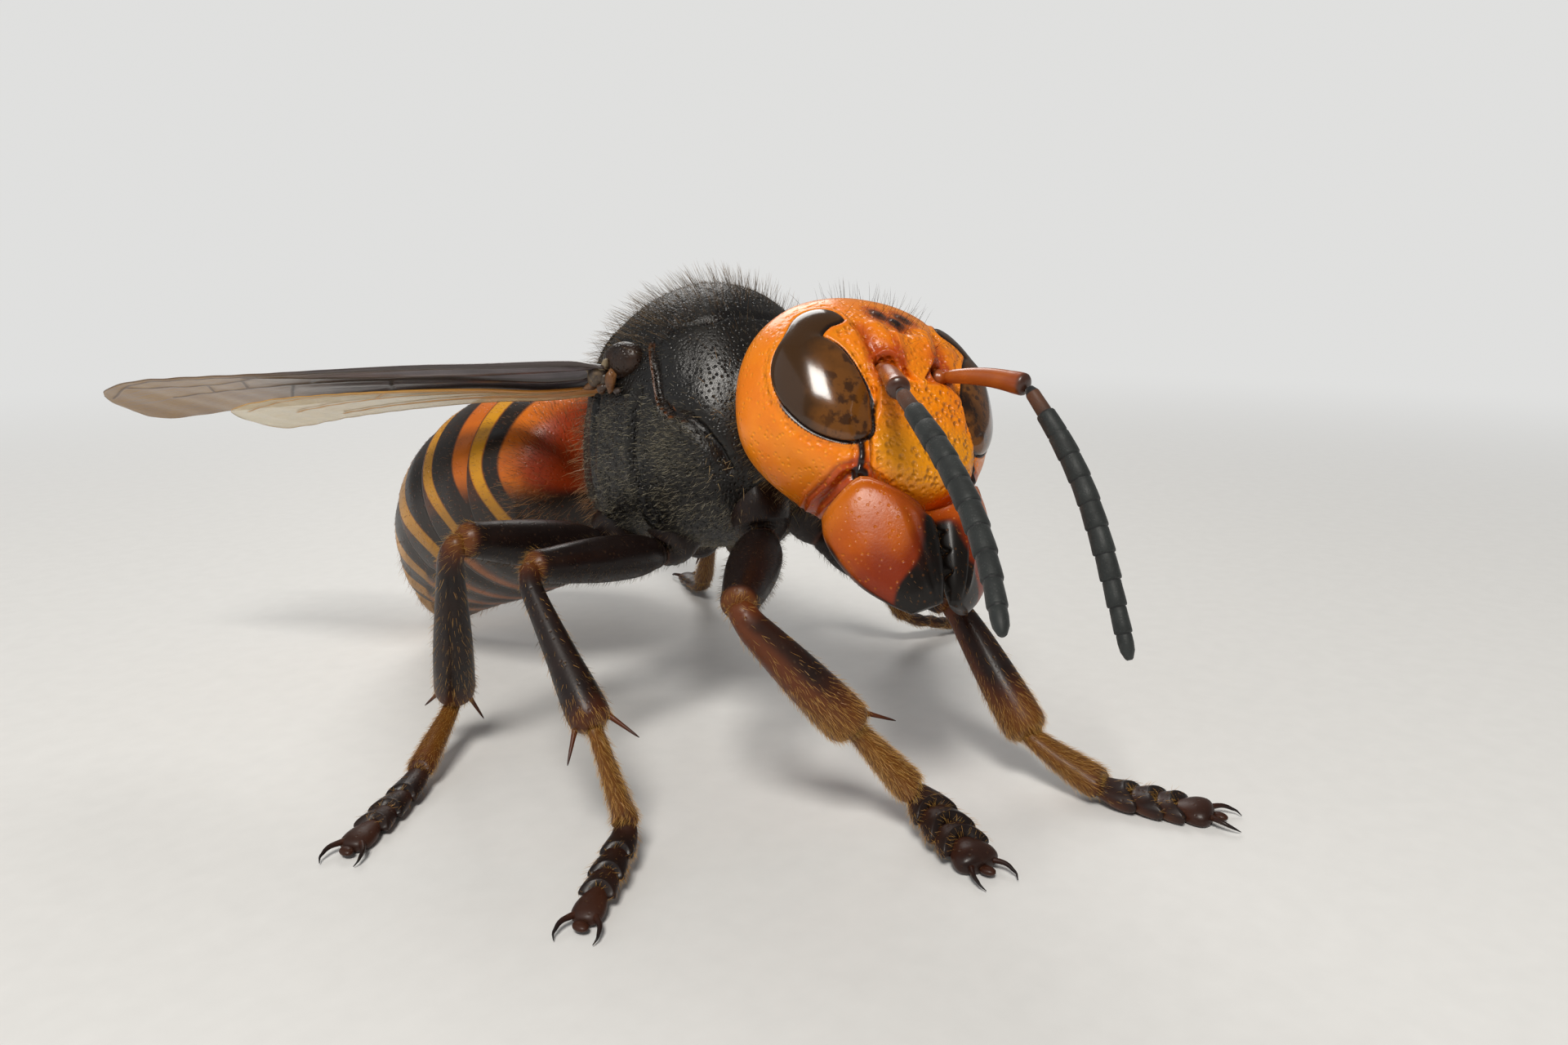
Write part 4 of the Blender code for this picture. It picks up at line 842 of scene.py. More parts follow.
def ellipsoid(centre, size, rings=28, around=40, tilt=0.0):
    polar = np.linspace(0.02, np.pi - 0.02, rings)[:, None]
    a = (np.arange(around) / around * tau)[None]
    ball = np.stack([size[0] * np.sin(polar) * np.cos(a), -size[1] * np.cos(polar) + 0 * a,
                     size[2] * np.sin(polar) * np.sin(a)], -1)
    if tilt:
        c, s = np.cos(radians(tilt)), np.sin(radians(tilt))
        ball = np.stack([ball[..., 0], c * ball[..., 1] - s * ball[..., 2],
                         s * ball[..., 1] + c * ball[..., 2]], -1)
    zero = np.zeros(ball.shape[:2])
    place = np.stack([a / tau + zero, polar / np.pi + zero, zero], -1)
    return closedRings(ball + np.array(centre), {"skinPlace": place})


def plainFields(part, **values):
    # the same fields on a whole part, for a material that reads them
    points, faces, fields = part
    whole = {key: np.full(len(points), float(value)) for key, value in values.items()}
    whole.update({key: fields[key] for key in ("skinPlace", "flow") if key in fields})
    return points, faces, whole


tegulaForm = {"centre": (4.88, -0.85, 2.5), "size": (0.66, 1.15, 0.82)}
wingRootForm = (                                # knobs and straps at the wing's root: place, size, tilt
    ((5.42, -2.0, 1.95), (0.4, 0.62, 0.5), 20.0, {"rust": 0.15, "pale": 0.2}),
    ((5.55, -2.35, 2.2), (0.17, 0.4, 0.14), -30.0, {"rust": 0.1, "pale": 0.6}),
    ((5.52, -1.5, 2.25), (0.16, 0.5, 0.15), 38.0, {"rust": 0.3, "pale": 0.7}),
    ((5.42, -1.2, 1.6), (0.24, 0.24, 0.6), -12.0, {"rust": 0.55, "pale": 0.1}),
    ((5.42, -1.75, 1.35), (0.24, 0.3, 0.24), 10.0, {"rust": 0.3, "pale": 0.0}),
    ((5.35, -2.6, 1.55), (0.18, 0.6, 0.16), 5.0, {"rust": 0.5, "pale": 0.1}),
    ((5.42, -0.85, 1.1), (0.14, 0.2, 0.2), 0.0, {"rust": 0.2, "pale": 0.0}),
    ((5.5, -1.7, 1.8), (0.13, 0.3, 0.3), 45.0, {"rust": 0.2, "pale": 0.3}),
)
# the pale tint on the root's plates is partly painted reflection
wingRootLook = {
    "base": (0.035, 0.022, 0.016), "shade": (0.015, 0.01, 0.008), "pitScale": 5200.0, "pitSize": 0.35,
    "pitTint": 0.3, "roughness": (0.3, 0.45), "bumpDepth": 0.00005, "mottleScale": 1400.0, "edgeNoise": 0.3,
    "over": {"rust": (0.2, 0.075, 0.016), "pale": (0.22, 0.17, 0.1)},
}
neckForm = {"start": (0.0, -1.6, 0.2), "end": (0.0, 5.2, 0.3),
            "profile": ((0.0, 0.8), (0.5, 1.05), (1.0, 1.1))}
waistForm = {"start": (0.0, -5.3, -2.65), "end": (0.1, -8.5, -2.95),
             "profile": ((0.0, 1.1), (0.35, 0.72), (0.6, 0.8), (1.0, 1.5))}


# Gaster: six sleeves along a falling curve, banded
gasterForm = {
    "waistEnd": (0.1, -7.7, -2.9), "startDip": -17.0, "endDip": 61.0, "turn": 3.0, "length": 19.2,
    "flat": 0.95, "around": 180, "joints": (0.0, 4.2, 8.1, 11.5, 14.4, 16.8, 19.2),
    "radii": ((0.0, 1.4), (0.7, 3.6), (1.6, 4.8), (3.9, 5.7), (7.5, 5.95), (11.0, 5.6), (14.0, 4.6),
              (16.8, 3.0), (18.5, 1.6), (19.2, 0.5)),
    # bands as shares of each ring: red front, dark, golden rear
    "bands": {1: {"red": (-1.0, 0.34), "dark": (0.58, 0.79), "gold": (0.79, 0.97)},
              2: {"red": (-1.0, -0.9), "dark": (0.3, 0.74), "gold": (0.74, 0.96)},
              3: {"red": (-1.0, -0.9), "dark": (-0.2, 0.62), "gold": (0.62, 0.96)},
              4: {"red": (-1.0, -0.9), "dark": (-0.2, 0.6), "gold": (0.6, 0.96)},
              5: {"red": (-1.0, -0.9), "dark": (-0.2, 0.5), "gold": (0.5, 0.97)},
              6: {"red": (-1.0, -0.9), "dark": (-0.2, 0.08), "gold": (0.08, 1.2)}},
}
gasterLook = {
    "base": (0.66, 0.16, 0.004), "shade": (0.5, 0.1, 0.003), "pitScale": 3600.0, "pitSize": 0.35,
    "pitTint": 0.2, "roughness": (0.3, 0.42), "bumpDepth": 0.00004, "edgeNoise": 0.05, "mottleScale": 350.0,
    "over": {"red": (0.3, 0.03, 0.002), "gold": (0.62, 0.27, 0.006), "dark": (0.014, 0.0075, 0.0045)},
    "shader": {"Specular_IOR_Level": 0.4, "Coat_Weight": 0.08, "Coat_Roughness": 0.2},
}


def gasterLine(s):
    # places and directions along the gaster's spine
    form = gasterForm
    fine = np.linspace(0.0, form["length"], 600)
    dip = np.radians(form["startDip"] + (form["endDip"] - form["startDip"]) * fine / form["length"])
    yaw = radians(form["turn"])
    way = np.stack([-np.sin(yaw) * np.cos(dip), -np.cos(yaw) * np.cos(dip), -np.sin(dip)], 1)
    step = (way[1:] + way[:-1]) / 2 * (fine[1] - fine[0])
    line = np.concatenate([[form["waistEnd"]], np.array(form["waistEnd"]) + np.cumsum(step, 0)])
    place = np.stack([np.interp(s, fine, line[:, c]) for c in range(3)], -1)
    return place, unit(np.stack([np.interp(s, fine, way[:, c]) for c in range(3)], -1))


def gasterSleeve(k):
    form = gasterForm
    start, end = form["joints"][k - 1], form["joints"][k]
    if k == 1:
        s = [0.0, 0.12, 0.25, 0.4, 0.55, 0.7, 0.9, 1.1, 1.35] + list(np.linspace(1.6, end - 0.12, 30))
        shrink = [0.0] * len(s)
    else:
        s = [start - 0.5, start - 0.2, start + 0.05] + list(np.linspace(start + 0.3, end - 0.12, 34))
        shrink = [0.55, 0.3, 0.2] + [0.15 * (1 - smoothStep(0.0, 1.6, v - start)) for v in s[3:]]
    if k < 6:
        s += [end - 0.04, end, end + 0.01, end - 0.06, end - 0.35]
        shrink += [0.0, 0.03, 0.09, 0.16, 0.2]
    s, shrink = np.array(s), np.array(shrink)
    centre, along = gasterLine(np.clip(s, 0, form["length"]))
    across = unit(np.cross(along, [0.0, 0.0, 1.0]))
    over = np.cross(across, along)
    angle = np.arange(form["around"]) / form["around"] * tau
    radius = np.maximum(0.1, through(form["radii"], s)[:, 0] - shrink)
    up = np.sin(angle)[None] + 0 * s[:, None]
    # the back plate's edge laps over the belly plate low on each side
    lap = 0.1 * smoothStep(0.03, -0.03, up + 0.52) * smoothStep(1.0, 2.5, s)[:, None]
    size = radius[:, None] - lap
    rings = (centre[:, None] + across[:, None] * (size * np.cos(angle))[..., None]
             + over[:, None] * (size * form["flat"] * np.sin(angle))[..., None])
    t = ((s - start) / (end - start))[:, None] + 0 * up
    belly = smoothStep(-0.46, -0.58, up)
    shift = 0.42 * smoothStep(0.35, -0.55, up) ** 1.3
    at = t + shift * (1 - belly) * (1.0 if k < 4 else 0.5)
    bands = form["bands"][k]
    dark = smoothStep(bands["dark"][0] - 0.04, bands["dark"][0] + 0.04, at)
    dark = dark * smoothStep(bands["dark"][1] + 0.035, bands["dark"][1] - 0.035, at)
    gold = smoothStep(bands["gold"][0] - 0.03, bands["gold"][0] + 0.03, at)
    line = smoothStep(bands["gold"][1] - 0.015, bands["gold"][1] + 0.025, at)
    gold = gold * (1 - line)
    red = smoothStep(bands["red"][1] + 0.16, bands["red"][1] - 0.16, at)
    # painted shade: the lower sides of the back plates are darkened, by under at the front of the first two
    # rings and by low on every ring
    under = smoothStep(0.1, -0.5, up) * smoothStep(0.5, 0.0, at) if k < 3 else 0.0
    low = (0.95 - 0.45 * gold) * smoothStep(0.3, -0.28, up)
    dark = np.clip(np.maximum(dark + 0.8 * line + 0.75 * under, low + 0 * t), 0, 1)
    dark = dark * (1 - belly) + belly * (0.95 - 0.4 * smoothStep(0.45, 0.8, t) * smoothStep(1.0, 0.85, t))
    gold = gold * (1 - belly) + belly * 0.3 * smoothStep(0.4, 0.8, t)
    red = red * (1 - belly)
    place = np.stack(np.broadcast_arrays(angle[None] / tau, s[:, None] / 20.0, 0.0), -1)
    hairy = smoothStep(0.1, 0.3, t) * (s < end - 0.05)[:, None]
    frontHair = 0 * up
    if k == 1:
        frontHair = frontHair + (smoothStep(2.3, 1.2, s) * smoothStep(0.15, 0.6, s))[:, None]
    tipHair = smoothStep(12.0, 18.0, s)[:, None] + 0 * up
    return closedRings(rings, {"dark": dark, "gold": gold, "red": red, "smooth": 0.4 * dark,
                               "skinPlace": place, "coatFine": hairy + 0 * up,
                               "coatFront": frontHair, "coatTip": tipHair * hairy})


# Wings: folded blades of thin membrane with raised veins
wingForm = {
    "forewing": {"root": (5.35, -1.5, 2.1), "sweep": 20.7, "fall": 3.7, "length": 29.0,
                 "tilt": ((0.0, 26.0), (0.1, 26.0), (0.2, 18.0), (0.3, 14.0), (0.8, 14.0), (0.93, 20.0),
                          (1.0, 25.0)),
                 "drop": ((0.0, 0.1), (0.1, 0.18), (0.2, 0.1), (0.3, 0.0), (0.85, 0.0), (1.0, 0.4)),
                 "chord": ((0.0, 1.5), (0.04, 2.5), (0.1, 3.1), (0.3, 3.9), (0.6, 4.6), (0.8, 5.0),
                           (0.93, 4.2), (0.985, 2.9), (1.0, 1.6)),
                 "spans": 260, "strips": 84, "pleat": 0.14, "thick": 0.07,
                 "veins": (((0.0, 0.06), (0.3, 0.035), (0.66, 0.04), (0.9, 0.06), (0.985, 0.25)),
                           ((0.0, 0.28), (0.25, 0.2), (0.5, 0.15), (0.66, 0.07)),
                           ((0.0, 0.5), (0.3, 0.42), (0.55, 0.38), (0.7, 0.42), (0.88, 0.5)),
                           ((0.0, 0.74), (0.35, 0.74), (0.7, 0.78)),
                           ((0.63, 0.08), (0.74, 0.24), (0.88, 0.2), (0.93, 0.1)),
                           ((0.5, 0.15), (0.56, 0.38)), ((0.6, 0.4), (0.66, 0.76)),
                           ((0.67, 0.14), (0.7, 0.42)), ((0.76, 0.24), (0.78, 0.45)),
                           ((0.4, 0.4), (0.44, 0.74))), "veinWidth": 0.10, "veinRise": 0.07},
    "hindwing": {"root": (4.95, -2.5, 1.75), "sweep": 24.0, "fall": 1.4, "length": 19.5,
                 "tilt": ((0.0, 22.0), (0.15, 22.0), (0.4, 16.0), (1.0, 16.0)),
                 "drop": ((0.0, 0.4), (0.15, 0.4), (0.3, 0.15), (0.5, 0.0), (0.8, 0.0), (1.0, 0.3)),
                 "chord": ((0.0, 0.6), (0.15, 0.9), (0.3, 1.5), (0.45, 2.1), (0.6, 2.6), (0.75, 3.1),
                           (0.88, 3.5), (0.95, 3.3), (0.985, 2.7), (1.0, 1.9)),
                 "spans": 200, "strips": 70, "pleat": 0.0, "thick": 0.06,
                 "veins": (((0.0, 0.1), (0.4, 0.05), (0.75, 0.06), (0.95, 0.2)),
                           ((0.0, 0.35), (0.4, 0.32), (0.6, 0.38), (0.85, 0.52)),
                           ((0.55, 0.08), (0.6, 0.38)), ((0.0, 0.7), (0.5, 0.72), (0.75, 0.8))),
                 "veinWidth": 0.09, "veinRise": 0.05},
}


def wingSurface(kind, side):
    spec = wingForm[kind]
    sweep, fall = radians(spec["sweep"]), radians(spec["fall"])
    along = np.array([np.sin(sweep) * np.cos(fall), -np.cos(sweep) * np.cos(fall), np.sin(fall)])
    out = np.array([np.cos(sweep), np.sin(sweep), 0.0])
    over = -np.cross(out, along)
    over = over if over[2] > 0 else -over
    u, v = (np.linspace(0, 1, spec[key] + 1) for key in ("spans", "strips"))
    u, v = np.meshgrid(u, v, indexing="ij")
    tilt = np.radians(through(spec["tilt"], u.ravel())).reshape(u.shape + (1,))
    drop = through(spec["drop"], u.ravel()).reshape(u.shape + (1,))
    lead = out * np.cos(tilt) + over * np.sin(tilt)
    normal = over * np.cos(tilt) - out * np.sin(tilt)
    chord = through(spec["chord"], u.ravel())[:, 0].reshape(u.shape)
    flat = np.stack([u.ravel() * spec["length"], (v * chord).ravel()], 1)
    vein = np.full(len(flat), 9.0)
    for path in spec["veins"]:
        path = np.array(path)
        fine = np.linspace(0, 1, 24)
        sums = np.linspace(0, 1, len(path))
        curve = through(np.column_stack([sums, path]), fine)
        width = through(spec["chord"], curve[:, 0])[:, 0]
        vein = np.minimum(vein, pathDistance(flat, np.stack([curve[:, 0] * spec["length"],
                                                             curve[:, 1] * width], 1)))
    vein = vein.reshape(u.shape)
    thin = smoothStep(0.35, 1.0, u)
    ridge = bump(vein, spec["veinWidth"] * (1.15 - 0.55 * u))
    edge = np.minimum(v, 1 - v) * chord
    half = spec["thick"] / 2 * smoothStep(0.0, 0.06, np.minimum(edge, (1 - u) * 4 + 0.01)) + 0.008
    half = half + spec["veinRise"] * ridge * (1.0 - 0.45 * u) * smoothStep(-0.01, 0.1, edge)
    wave = 0.25 * np.sin(np.pi * v) * (1 - u)
    wave += spec["pleat"] * np.cos(tau * 3.0 * v) * smoothStep(0.72, 0.3, u) * smoothStep(0.0, 0.05, u)
    wave += 0.02 * np.sin(u * 90 + 7 * v) * thin
    base = (np.array(spec["root"]) + along * (spec["length"] * u - 0.8 * (v - 0.3) ** 2)[..., None]
            + lead * (chord * (0.35 - v))[..., None] - over * drop)
    upper = base + normal * (wave + half)[..., None]
    lower = base + normal * (wave - half)[..., None]
    # the two faces become one closed skin: rings round the blade from root to tip
    rings = np.concatenate([upper, lower[:, ::-1]], 1)
    rings[..., 0] *= side
    fields = {"vein": np.clip(1.25 * ridge, 0, 1), "span": u, "fold": v, "edge": smoothStep(0.12, 0.0, edge),
              "skinPlace": np.stack([v, u, 0 * u], -1)}
    return closedRings(rings, {key: np.concatenate([own, own[:, ::-1]], 1) for key, own in fields.items()})


def wingPaint(name, colours):
    # smoky membrane that lets some light through, with darker veins, and pale patches and streaks that are
    # painted reflections
    paint, tree, shader = newPaint(name, Coat_Weight=0.5, Coat_Roughness=0.2)
    place = objectPlace(tree)
    mottle = useGroup(tree, mottleGroup, {"Place": place, "Scale": 350.0})["Mottle"]
    span = sumOf(tree, "ADD", field(tree, "span"), sumOf(tree, "MULTIPLY", mottle, 0.03))
    toTip = remap(tree, span, colours["change"][0], colours["change"][1])
    colour = blendColours(tree, toTip, (*colours["root"], 1), (*colours["tip"], 1))
    # painted reflection: pale patches by the mottle, then pale streaks along the folds, both in the patch
    # colour
    colour = blendColours(tree, remap(tree, mottle, -1.0, 1.0, 0.0, 0.35), colour, (*colours["patch"], 1))
    reflectionStreaks = wire(tree, "ShaderNodeCombineXYZ", {0: sumOf(tree, "MULTIPLY", field(tree, "fold"), 60.0),
                                                1: sumOf(tree, "MULTIPLY", field(tree, "span"), 5.0)})
    reflectionStreaks = wire(tree, "ShaderNodeTexNoise", {"Vector": reflectionStreaks.outputs[0], "Scale": 1.0, "Detail": 3.0})
    reflectionStreaks = remap(tree, reflectionStreaks.outputs[0], 0.5, 0.72, 0.0, colours["streak"])
    colour = blendColours(tree, reflectionStreaks, colour, (*colours["patch"], 1))
    vein = sumOf(tree, "MAXIMUM", field(tree, "vein"), sumOf(tree, "MULTIPLY", field(tree, "edge"), 0.8))
    veins = blendColours(tree, toTip, (*colours["vein"], 1), (*colours["veinTip"], 1))
    colour = blendColours(tree, remap(tree, vein, 0.25, 0.8), colour, veins)
    tree.links.new(colour, shader.inputs["Base Color"])
    clear = remap(tree, span, colours["change"][0], colours["change"][1], *colours["cover"])
    cover = sumOf(tree, "MAXIMUM", clear, remap(tree, vein, 0.3, 0.85))
    tree.links.new(cover, shader.inputs["Alpha"])
    fine = wire(tree, "ShaderNodeTexNoise", {"Vector": place, "Scale": 6000.0, "Detail": 2.0})
    streak = wire(tree, "ShaderNodeTexWave", {"Vector": place, "Scale": 900.0, "Distortion": 3.0})
    height = sumOf(tree, "ADD", fine.outputs[0], sumOf(tree, "MULTIPLY", streak.outputs[1], 0.4))
    dent = wire(tree, "ShaderNodeBump", {"Height": height, "Strength": 0.5, "Distance": 0.00002})
    tree.links.new(dent.outputs[0], shader.inputs["Normal"])
    rough = remap(tree, mottle, -1.0, 1.0, 0.28, 0.42)
    tree.links.new(rough, shader.inputs["Roughness"])
    return paint


# patch is the colour of the painted reflections and streak their strength; the forewing's root colour is
# partly painted reflection too
wingLook = {
    "forewing": {"root": (0.062, 0.044, 0.05), "tip": (0.36, 0.2, 0.05), "patch": (0.25, 0.2, 0.21),
                 "vein": (0.035, 0.02, 0.016), "veinTip": (0.12, 0.055, 0.014), "change": (0.5, 0.72),
                 "cover": (0.97, 0.82), "streak": 0.7},
    "hindwing": {"root": (0.42, 0.22, 0.06), "tip": (0.78, 0.68, 0.44), "patch": (0.75, 0.52, 0.22),
                 "vein": (0.4, 0.15, 0.02), "veinTip": (0.5, 0.24, 0.03), "change": (0.05, 0.6),
                 "cover": (0.7, 0.5), "streak": 0.3},
}


# Legs: each is worked out from the hip to a foot that is level on the floor
legForm = {
    "footHeight": 0.24,
    "femur": ((0.0, 0.48), (0.05, 0.75), (0.2, 1.05), (0.45, 1.1), (0.7, 0.95), (0.88, 0.79), (0.96, 0.72),
              (1.0, 0.42)),
    "tibia": {
        "fore": ((0.0, 0.32), (0.04, 0.52), (0.12, 0.6), (0.3, 0.74), (0.6, 0.9), (0.85, 0.96), (0.96, 0.88),
                 (1.0, 0.5)),
        "mid": ((0.0, 0.3), (0.04, 0.46), (0.12, 0.48), (0.3, 0.54), (0.6, 0.7), (0.85, 0.88), (0.96, 0.84),
                (1.0, 0.5)),
        "hind": ((0.0, 0.32), (0.04, 0.5), (0.12, 0.54), (0.3, 0.64), (0.6, 0.84), (0.85, 0.92), (0.96, 0.86),
                 (1.0, 0.5)),
    },
    "coxa": ((0.0, 1.25), (0.3, 1.4), (0.55, 1.18), (0.72, 0.8), (0.8, 0.62), (0.84, 0.68), (0.93, 0.76),
             (1.0, 0.5)),
    "tarsusShare": (0.0, 0.46, 0.62, 0.74, 0.84, 1.0),
    "tarsusRadius": (0.86, 1.04, 1.12, 1.12, 0.95), "footFlat": (0.74, 0.56, 0.52, 0.5, 0.56),
    "cup": (0.3, 0.6, 0.75, 0.75, 0.0), "footWide": {"fore": 1.0, "mid": 0.68, "hind": 0.68},
    "firstRows": ((0.0, 0.45), (0.06, 0.6), (0.3, 0.74), (0.6, 0.9), (0.88, 1.0), (0.97, 0.93), (1.0, 0.6)),
    "cupRows": ((0.0, 0.5), (0.08, 0.66), (0.3, 0.78), (0.6, 0.92), (0.9, 1.0), (0.97, 0.93), (1.0, 0.6)),
    "lastRows": ((0.0, 0.5), (0.1, 0.62), (0.3, 0.84), (0.55, 1.0), (0.8, 0.96), (0.94, 0.7), (1.0, 0.4)),
    "claw": 1.45, "clawRows": ((0.0, 0.17), (0.3, 0.12), (0.7, 0.075), (1.0, 0.015)),
    "spur": 1.9, "spurRows": ((0.0, 0.15), (0.5, 0.09), (0.9, 0.045), (1.0, 0.015)),
    "spurs": {"fore": 1, "mid": 2, "hind": 2},
}
legs = {
    "fore_right": dict(base=(1.7, 3.6, -3.4), tip=(2.2, 4.2, -6.0), femur=(6.4, 59, -8),
                       tibia=(6.9, -44, -49), first=(4.1, -37, -48), foot=(4.1, 22), size=1.0),
    "mid_right": dict(base=(2.4, -0.4, -4.6), tip=(3.2, -1.2, -6.2), femur=(7.4, 90, 7),
                      tibia=(7.4, 17, -43), first=(4.2, -20, -72), foot=(5.0, 63), size=0.92),
    "hind_right": dict(base=(2.4, -3.9, -4.2), tip=(3.4, -4.8, -5.8), femur=(8.3, 88, 14),
                       tibia=(9.6, -155, -63), first=(5.4, 58, -22), foot=(5.0, 62), size=1.0),
    "fore_left": dict(base=(-1.7, 3.6, -3.4), tip=(-2.2, 4.2, -6.0), femur=(6.4, -22, -24),
                      tibia=(6.9, 8, -47), first=(4.1, -6, -26), foot=(4.1, -16), size=1.0),
    "mid_left": dict(base=(-2.4, -0.4, -4.6), tip=(-3.2, -1.2, -6.2), femur=(7.4, -96, 20),
                     tibia=(7.4, -76, -58), first=(4.2, -74, -52), foot=(5.0, -70), size=0.92),
    "hind_left": dict(base=(-2.4, -3.9, -4.2), tip=(-3.4, -4.8, -5.8), femur=(8.3, -125, 30),
                      tibia=(9.6, -136, -52), first=(5.4, -142, -48), foot=(5.0, -146), size=1.0),
}
legTints = {
    "coxa": {"rust": ((0, 0), (0.72, 0), (0.8, 0.5), (0.88, 0), (1, 0)), "coatDark": ((0, 0.7), (1, 0.6))},
    "femur": {"rust": ((0, 0.4), (0.05, 0), (0.92, 0), (0.99, 0.9), (1, 0.9)),
              "amber": ((0, 0), (0.95, 0), (0.97, 0.4), (1, 0.4)), "dark": ((0, 0.5), (0.9, 0.4), (1, 0)),
              "coatDark": ((0, 1), (0.9, 1), (1, 0.3)), "coatDarkTop": ((0, 0.3), (1, 0.2)),
              "coatLeg": ((0, 0), (0.88, 0), (0.95, 0.5), (1, 0.5))},
    "foreTibia": {"rust": ((0, 1), (0.1, 0.95), (0.2, 0.85), (1, 0.9)),
                  "rustTop": ((0, 1), (0.08, 0.8), (0.16, 0.25), (0.55, 0.14), (0.85, 0.7), (1, 0.9)),
                  "amber": ((0, 0.5), (0.08, 0.15), (0.5, 0.2), (0.8, 0.6), (1, 0.85)),
                  "amberTop": ((0, 0.5), (0.08, 0), (0.6, 0), (0.9, 0.5), (1, 0.8)),
                  "coatLeg": ((0, 0.4), (0.1, 0.1), (0.5, 0.35), (0.75, 1), (1, 1.3)),
                  "coatLegTop": ((0, 0.3), (0.1, 0.05), (0.6, 0.1), (0.8, 0.8), (1, 1.2))},
    "midTibia": {"rust": ((0, 0.9), (0.08, 0.5), (0.2, 0.1), (0.8, 0.1), (1, 0.6)),
                 "amber": ((0, 0.7), (0.06, 0.3), (0.1, 0), (0.9, 0), (1, 0.3)),
                 "coatLeg": ((0, 0.5), (0.12, 0.08), (0.8, 0.12), (1, 0.6)),
                 "coatDark": ((0, 0.12), (1, 0.18))},
    "hindTibia": {"rust": ((0, 0.9), (0.08, 0.5), (0.2, 0.1), (0.8, 0.15), (1, 0.6)),
                  "amber": ((0, 0.7), (0.06, 0.3), (0.1, 0), (0.9, 0), (1, 0.3)),
                  "coatLeg": ((0, 0.5), (0.12, 0.1), (0.8, 0.15), (1, 0.6)),
                  "coatDark": ((0, 0.12), (1, 0.18))},
    "spur": {"rust": ((0, 0.8), (1, 0.5)), "dark": ((0, 0), (0.6, 0.2), (1, 0.6))},
    "first": {"rust": ((0, 0.9), (0.8, 0.8), (1, 0.4)), "amber": ((0, 0.7), (0.7, 0.75), (0.95, 0.3), (1, 0)),
              "coatLeg": ((0, 1.2), (1, 1.5))},
    "cup": {"rust": ((0, 0.5), (0.6, 0.5), (1, 0.2)), "amber": ((0, 0.3), (0.5, 0.3), (1, 0)),
            "rustTop": ((0, 0.35), (1, 0.1)), "amberTop": ((0, 0.15), (1, 0)),
            "coatLeg": ((0, 0.5), (0.6, 1.1), (1, 1.5)), "coatLegTop": ((0, 0.1), (0.7, 0.15), (1, 0.35))},
    "last": {"rust": ((0, 0.5), (1, 0.3)), "rustTop": ((0, 0.4), (1, 0.25)),
             "coatLeg": ((0, 0.5), (1, 0.3)), "coatLegTop": ((0, 0), (1, 0))},
    "claw": {"dark": ((0, 0.3), (1, 0.8)), "rust": ((0, 0.6), (1, 0.2))},
}
legLook = {
    "base": (0.009, 0.005, 0.0045), "shade": (0.016, 0.008, 0.006), "pitScale": 3600.0, "pitSize": 0.3,
    "pitTint": 0.5, "pitColour": (0.09, 0.045, 0.02), "roughness": (0.34, 0.5), "bumpDepth": 0.00004,
    "over": {"rust": (0.11, 0.026, 0.006), "amber": (0.14, 0.052, 0.007), "dark": (0.005, 0.003, 0.003)},
    "shader": {"Specular_IOR_Level": 0.26, "Coat_Weight": 0.05, "Coat_Roughness": 0.15},
}


def scaled(rows, size):
    return [(share, radius * size) for share, radius in rows]


def heading(length, degrees, rise):
    a, b = radians(degrees), radians(rise)
    return length * np.array([np.cos(b) * np.sin(a), np.cos(b) * np.cos(a), np.sin(b)])


def legJoints(spec):
    hip = np.array(thoraxOnFloor @ Vector(spec["tip"]))
    knee = hip + heading(*spec["femur"])
    ankle = knee + heading(*spec["tibia"])
    ball = ankle + heading(*spec["first"])
    length, degrees = spec["foot"]
    drop = np.clip((ball[2] - legForm["footHeight"]) / length, -0.95, 0.95)
    level = np.sqrt(1.0 - drop * drop)
    a = radians(degrees)
    return hip, knee, ankle, ball, ball + length * np.array([np.sin(a) * level, np.cos(a) * level, -drop])


def legTube(corners, profile, around, steps, soften, tints, upright=(0, 0, 1), flat=1.0, cup=0.0):
    # tints are rows of (share, value), and a key with "Top" holds for the upper side only
    rings, share, angle = tubeRings(corners, profile, around, steps, soften, upright, flat)
    along = unit(np.gradient(rings.mean(1), axis=0))
    reach = cup * (np.cos(angle) ** 2 - 0.55)[None] * smoothStep(0.5, 1.0, share)[:, None]
    rings = rings + along[:, None] * reach[..., None]
    above = smoothStep(-0.4, 0.5, np.sin(angle))[None]
    fields = {}
    for key in ("rust", "amber", "dark", "coatLeg", "coatDark"):
        side = np.interp(share, *np.transpose(tints.get(key, ((0, 0), (1, 0)))))[:, None]
        top = side
        if key + "Top" in tints:
            top = np.interp(share, *np.transpose(tints[key + "Top"]))[:, None]
        fields[key] = side + (top - side) * above
    fields["smooth"] = 0.3 + 0 * fields["rust"]
    fields["skinPlace"] = np.stack(np.broadcast_arrays(angle[None] / tau, share[:, None], 0.0), -1)
    return closedRings(rings, fields)


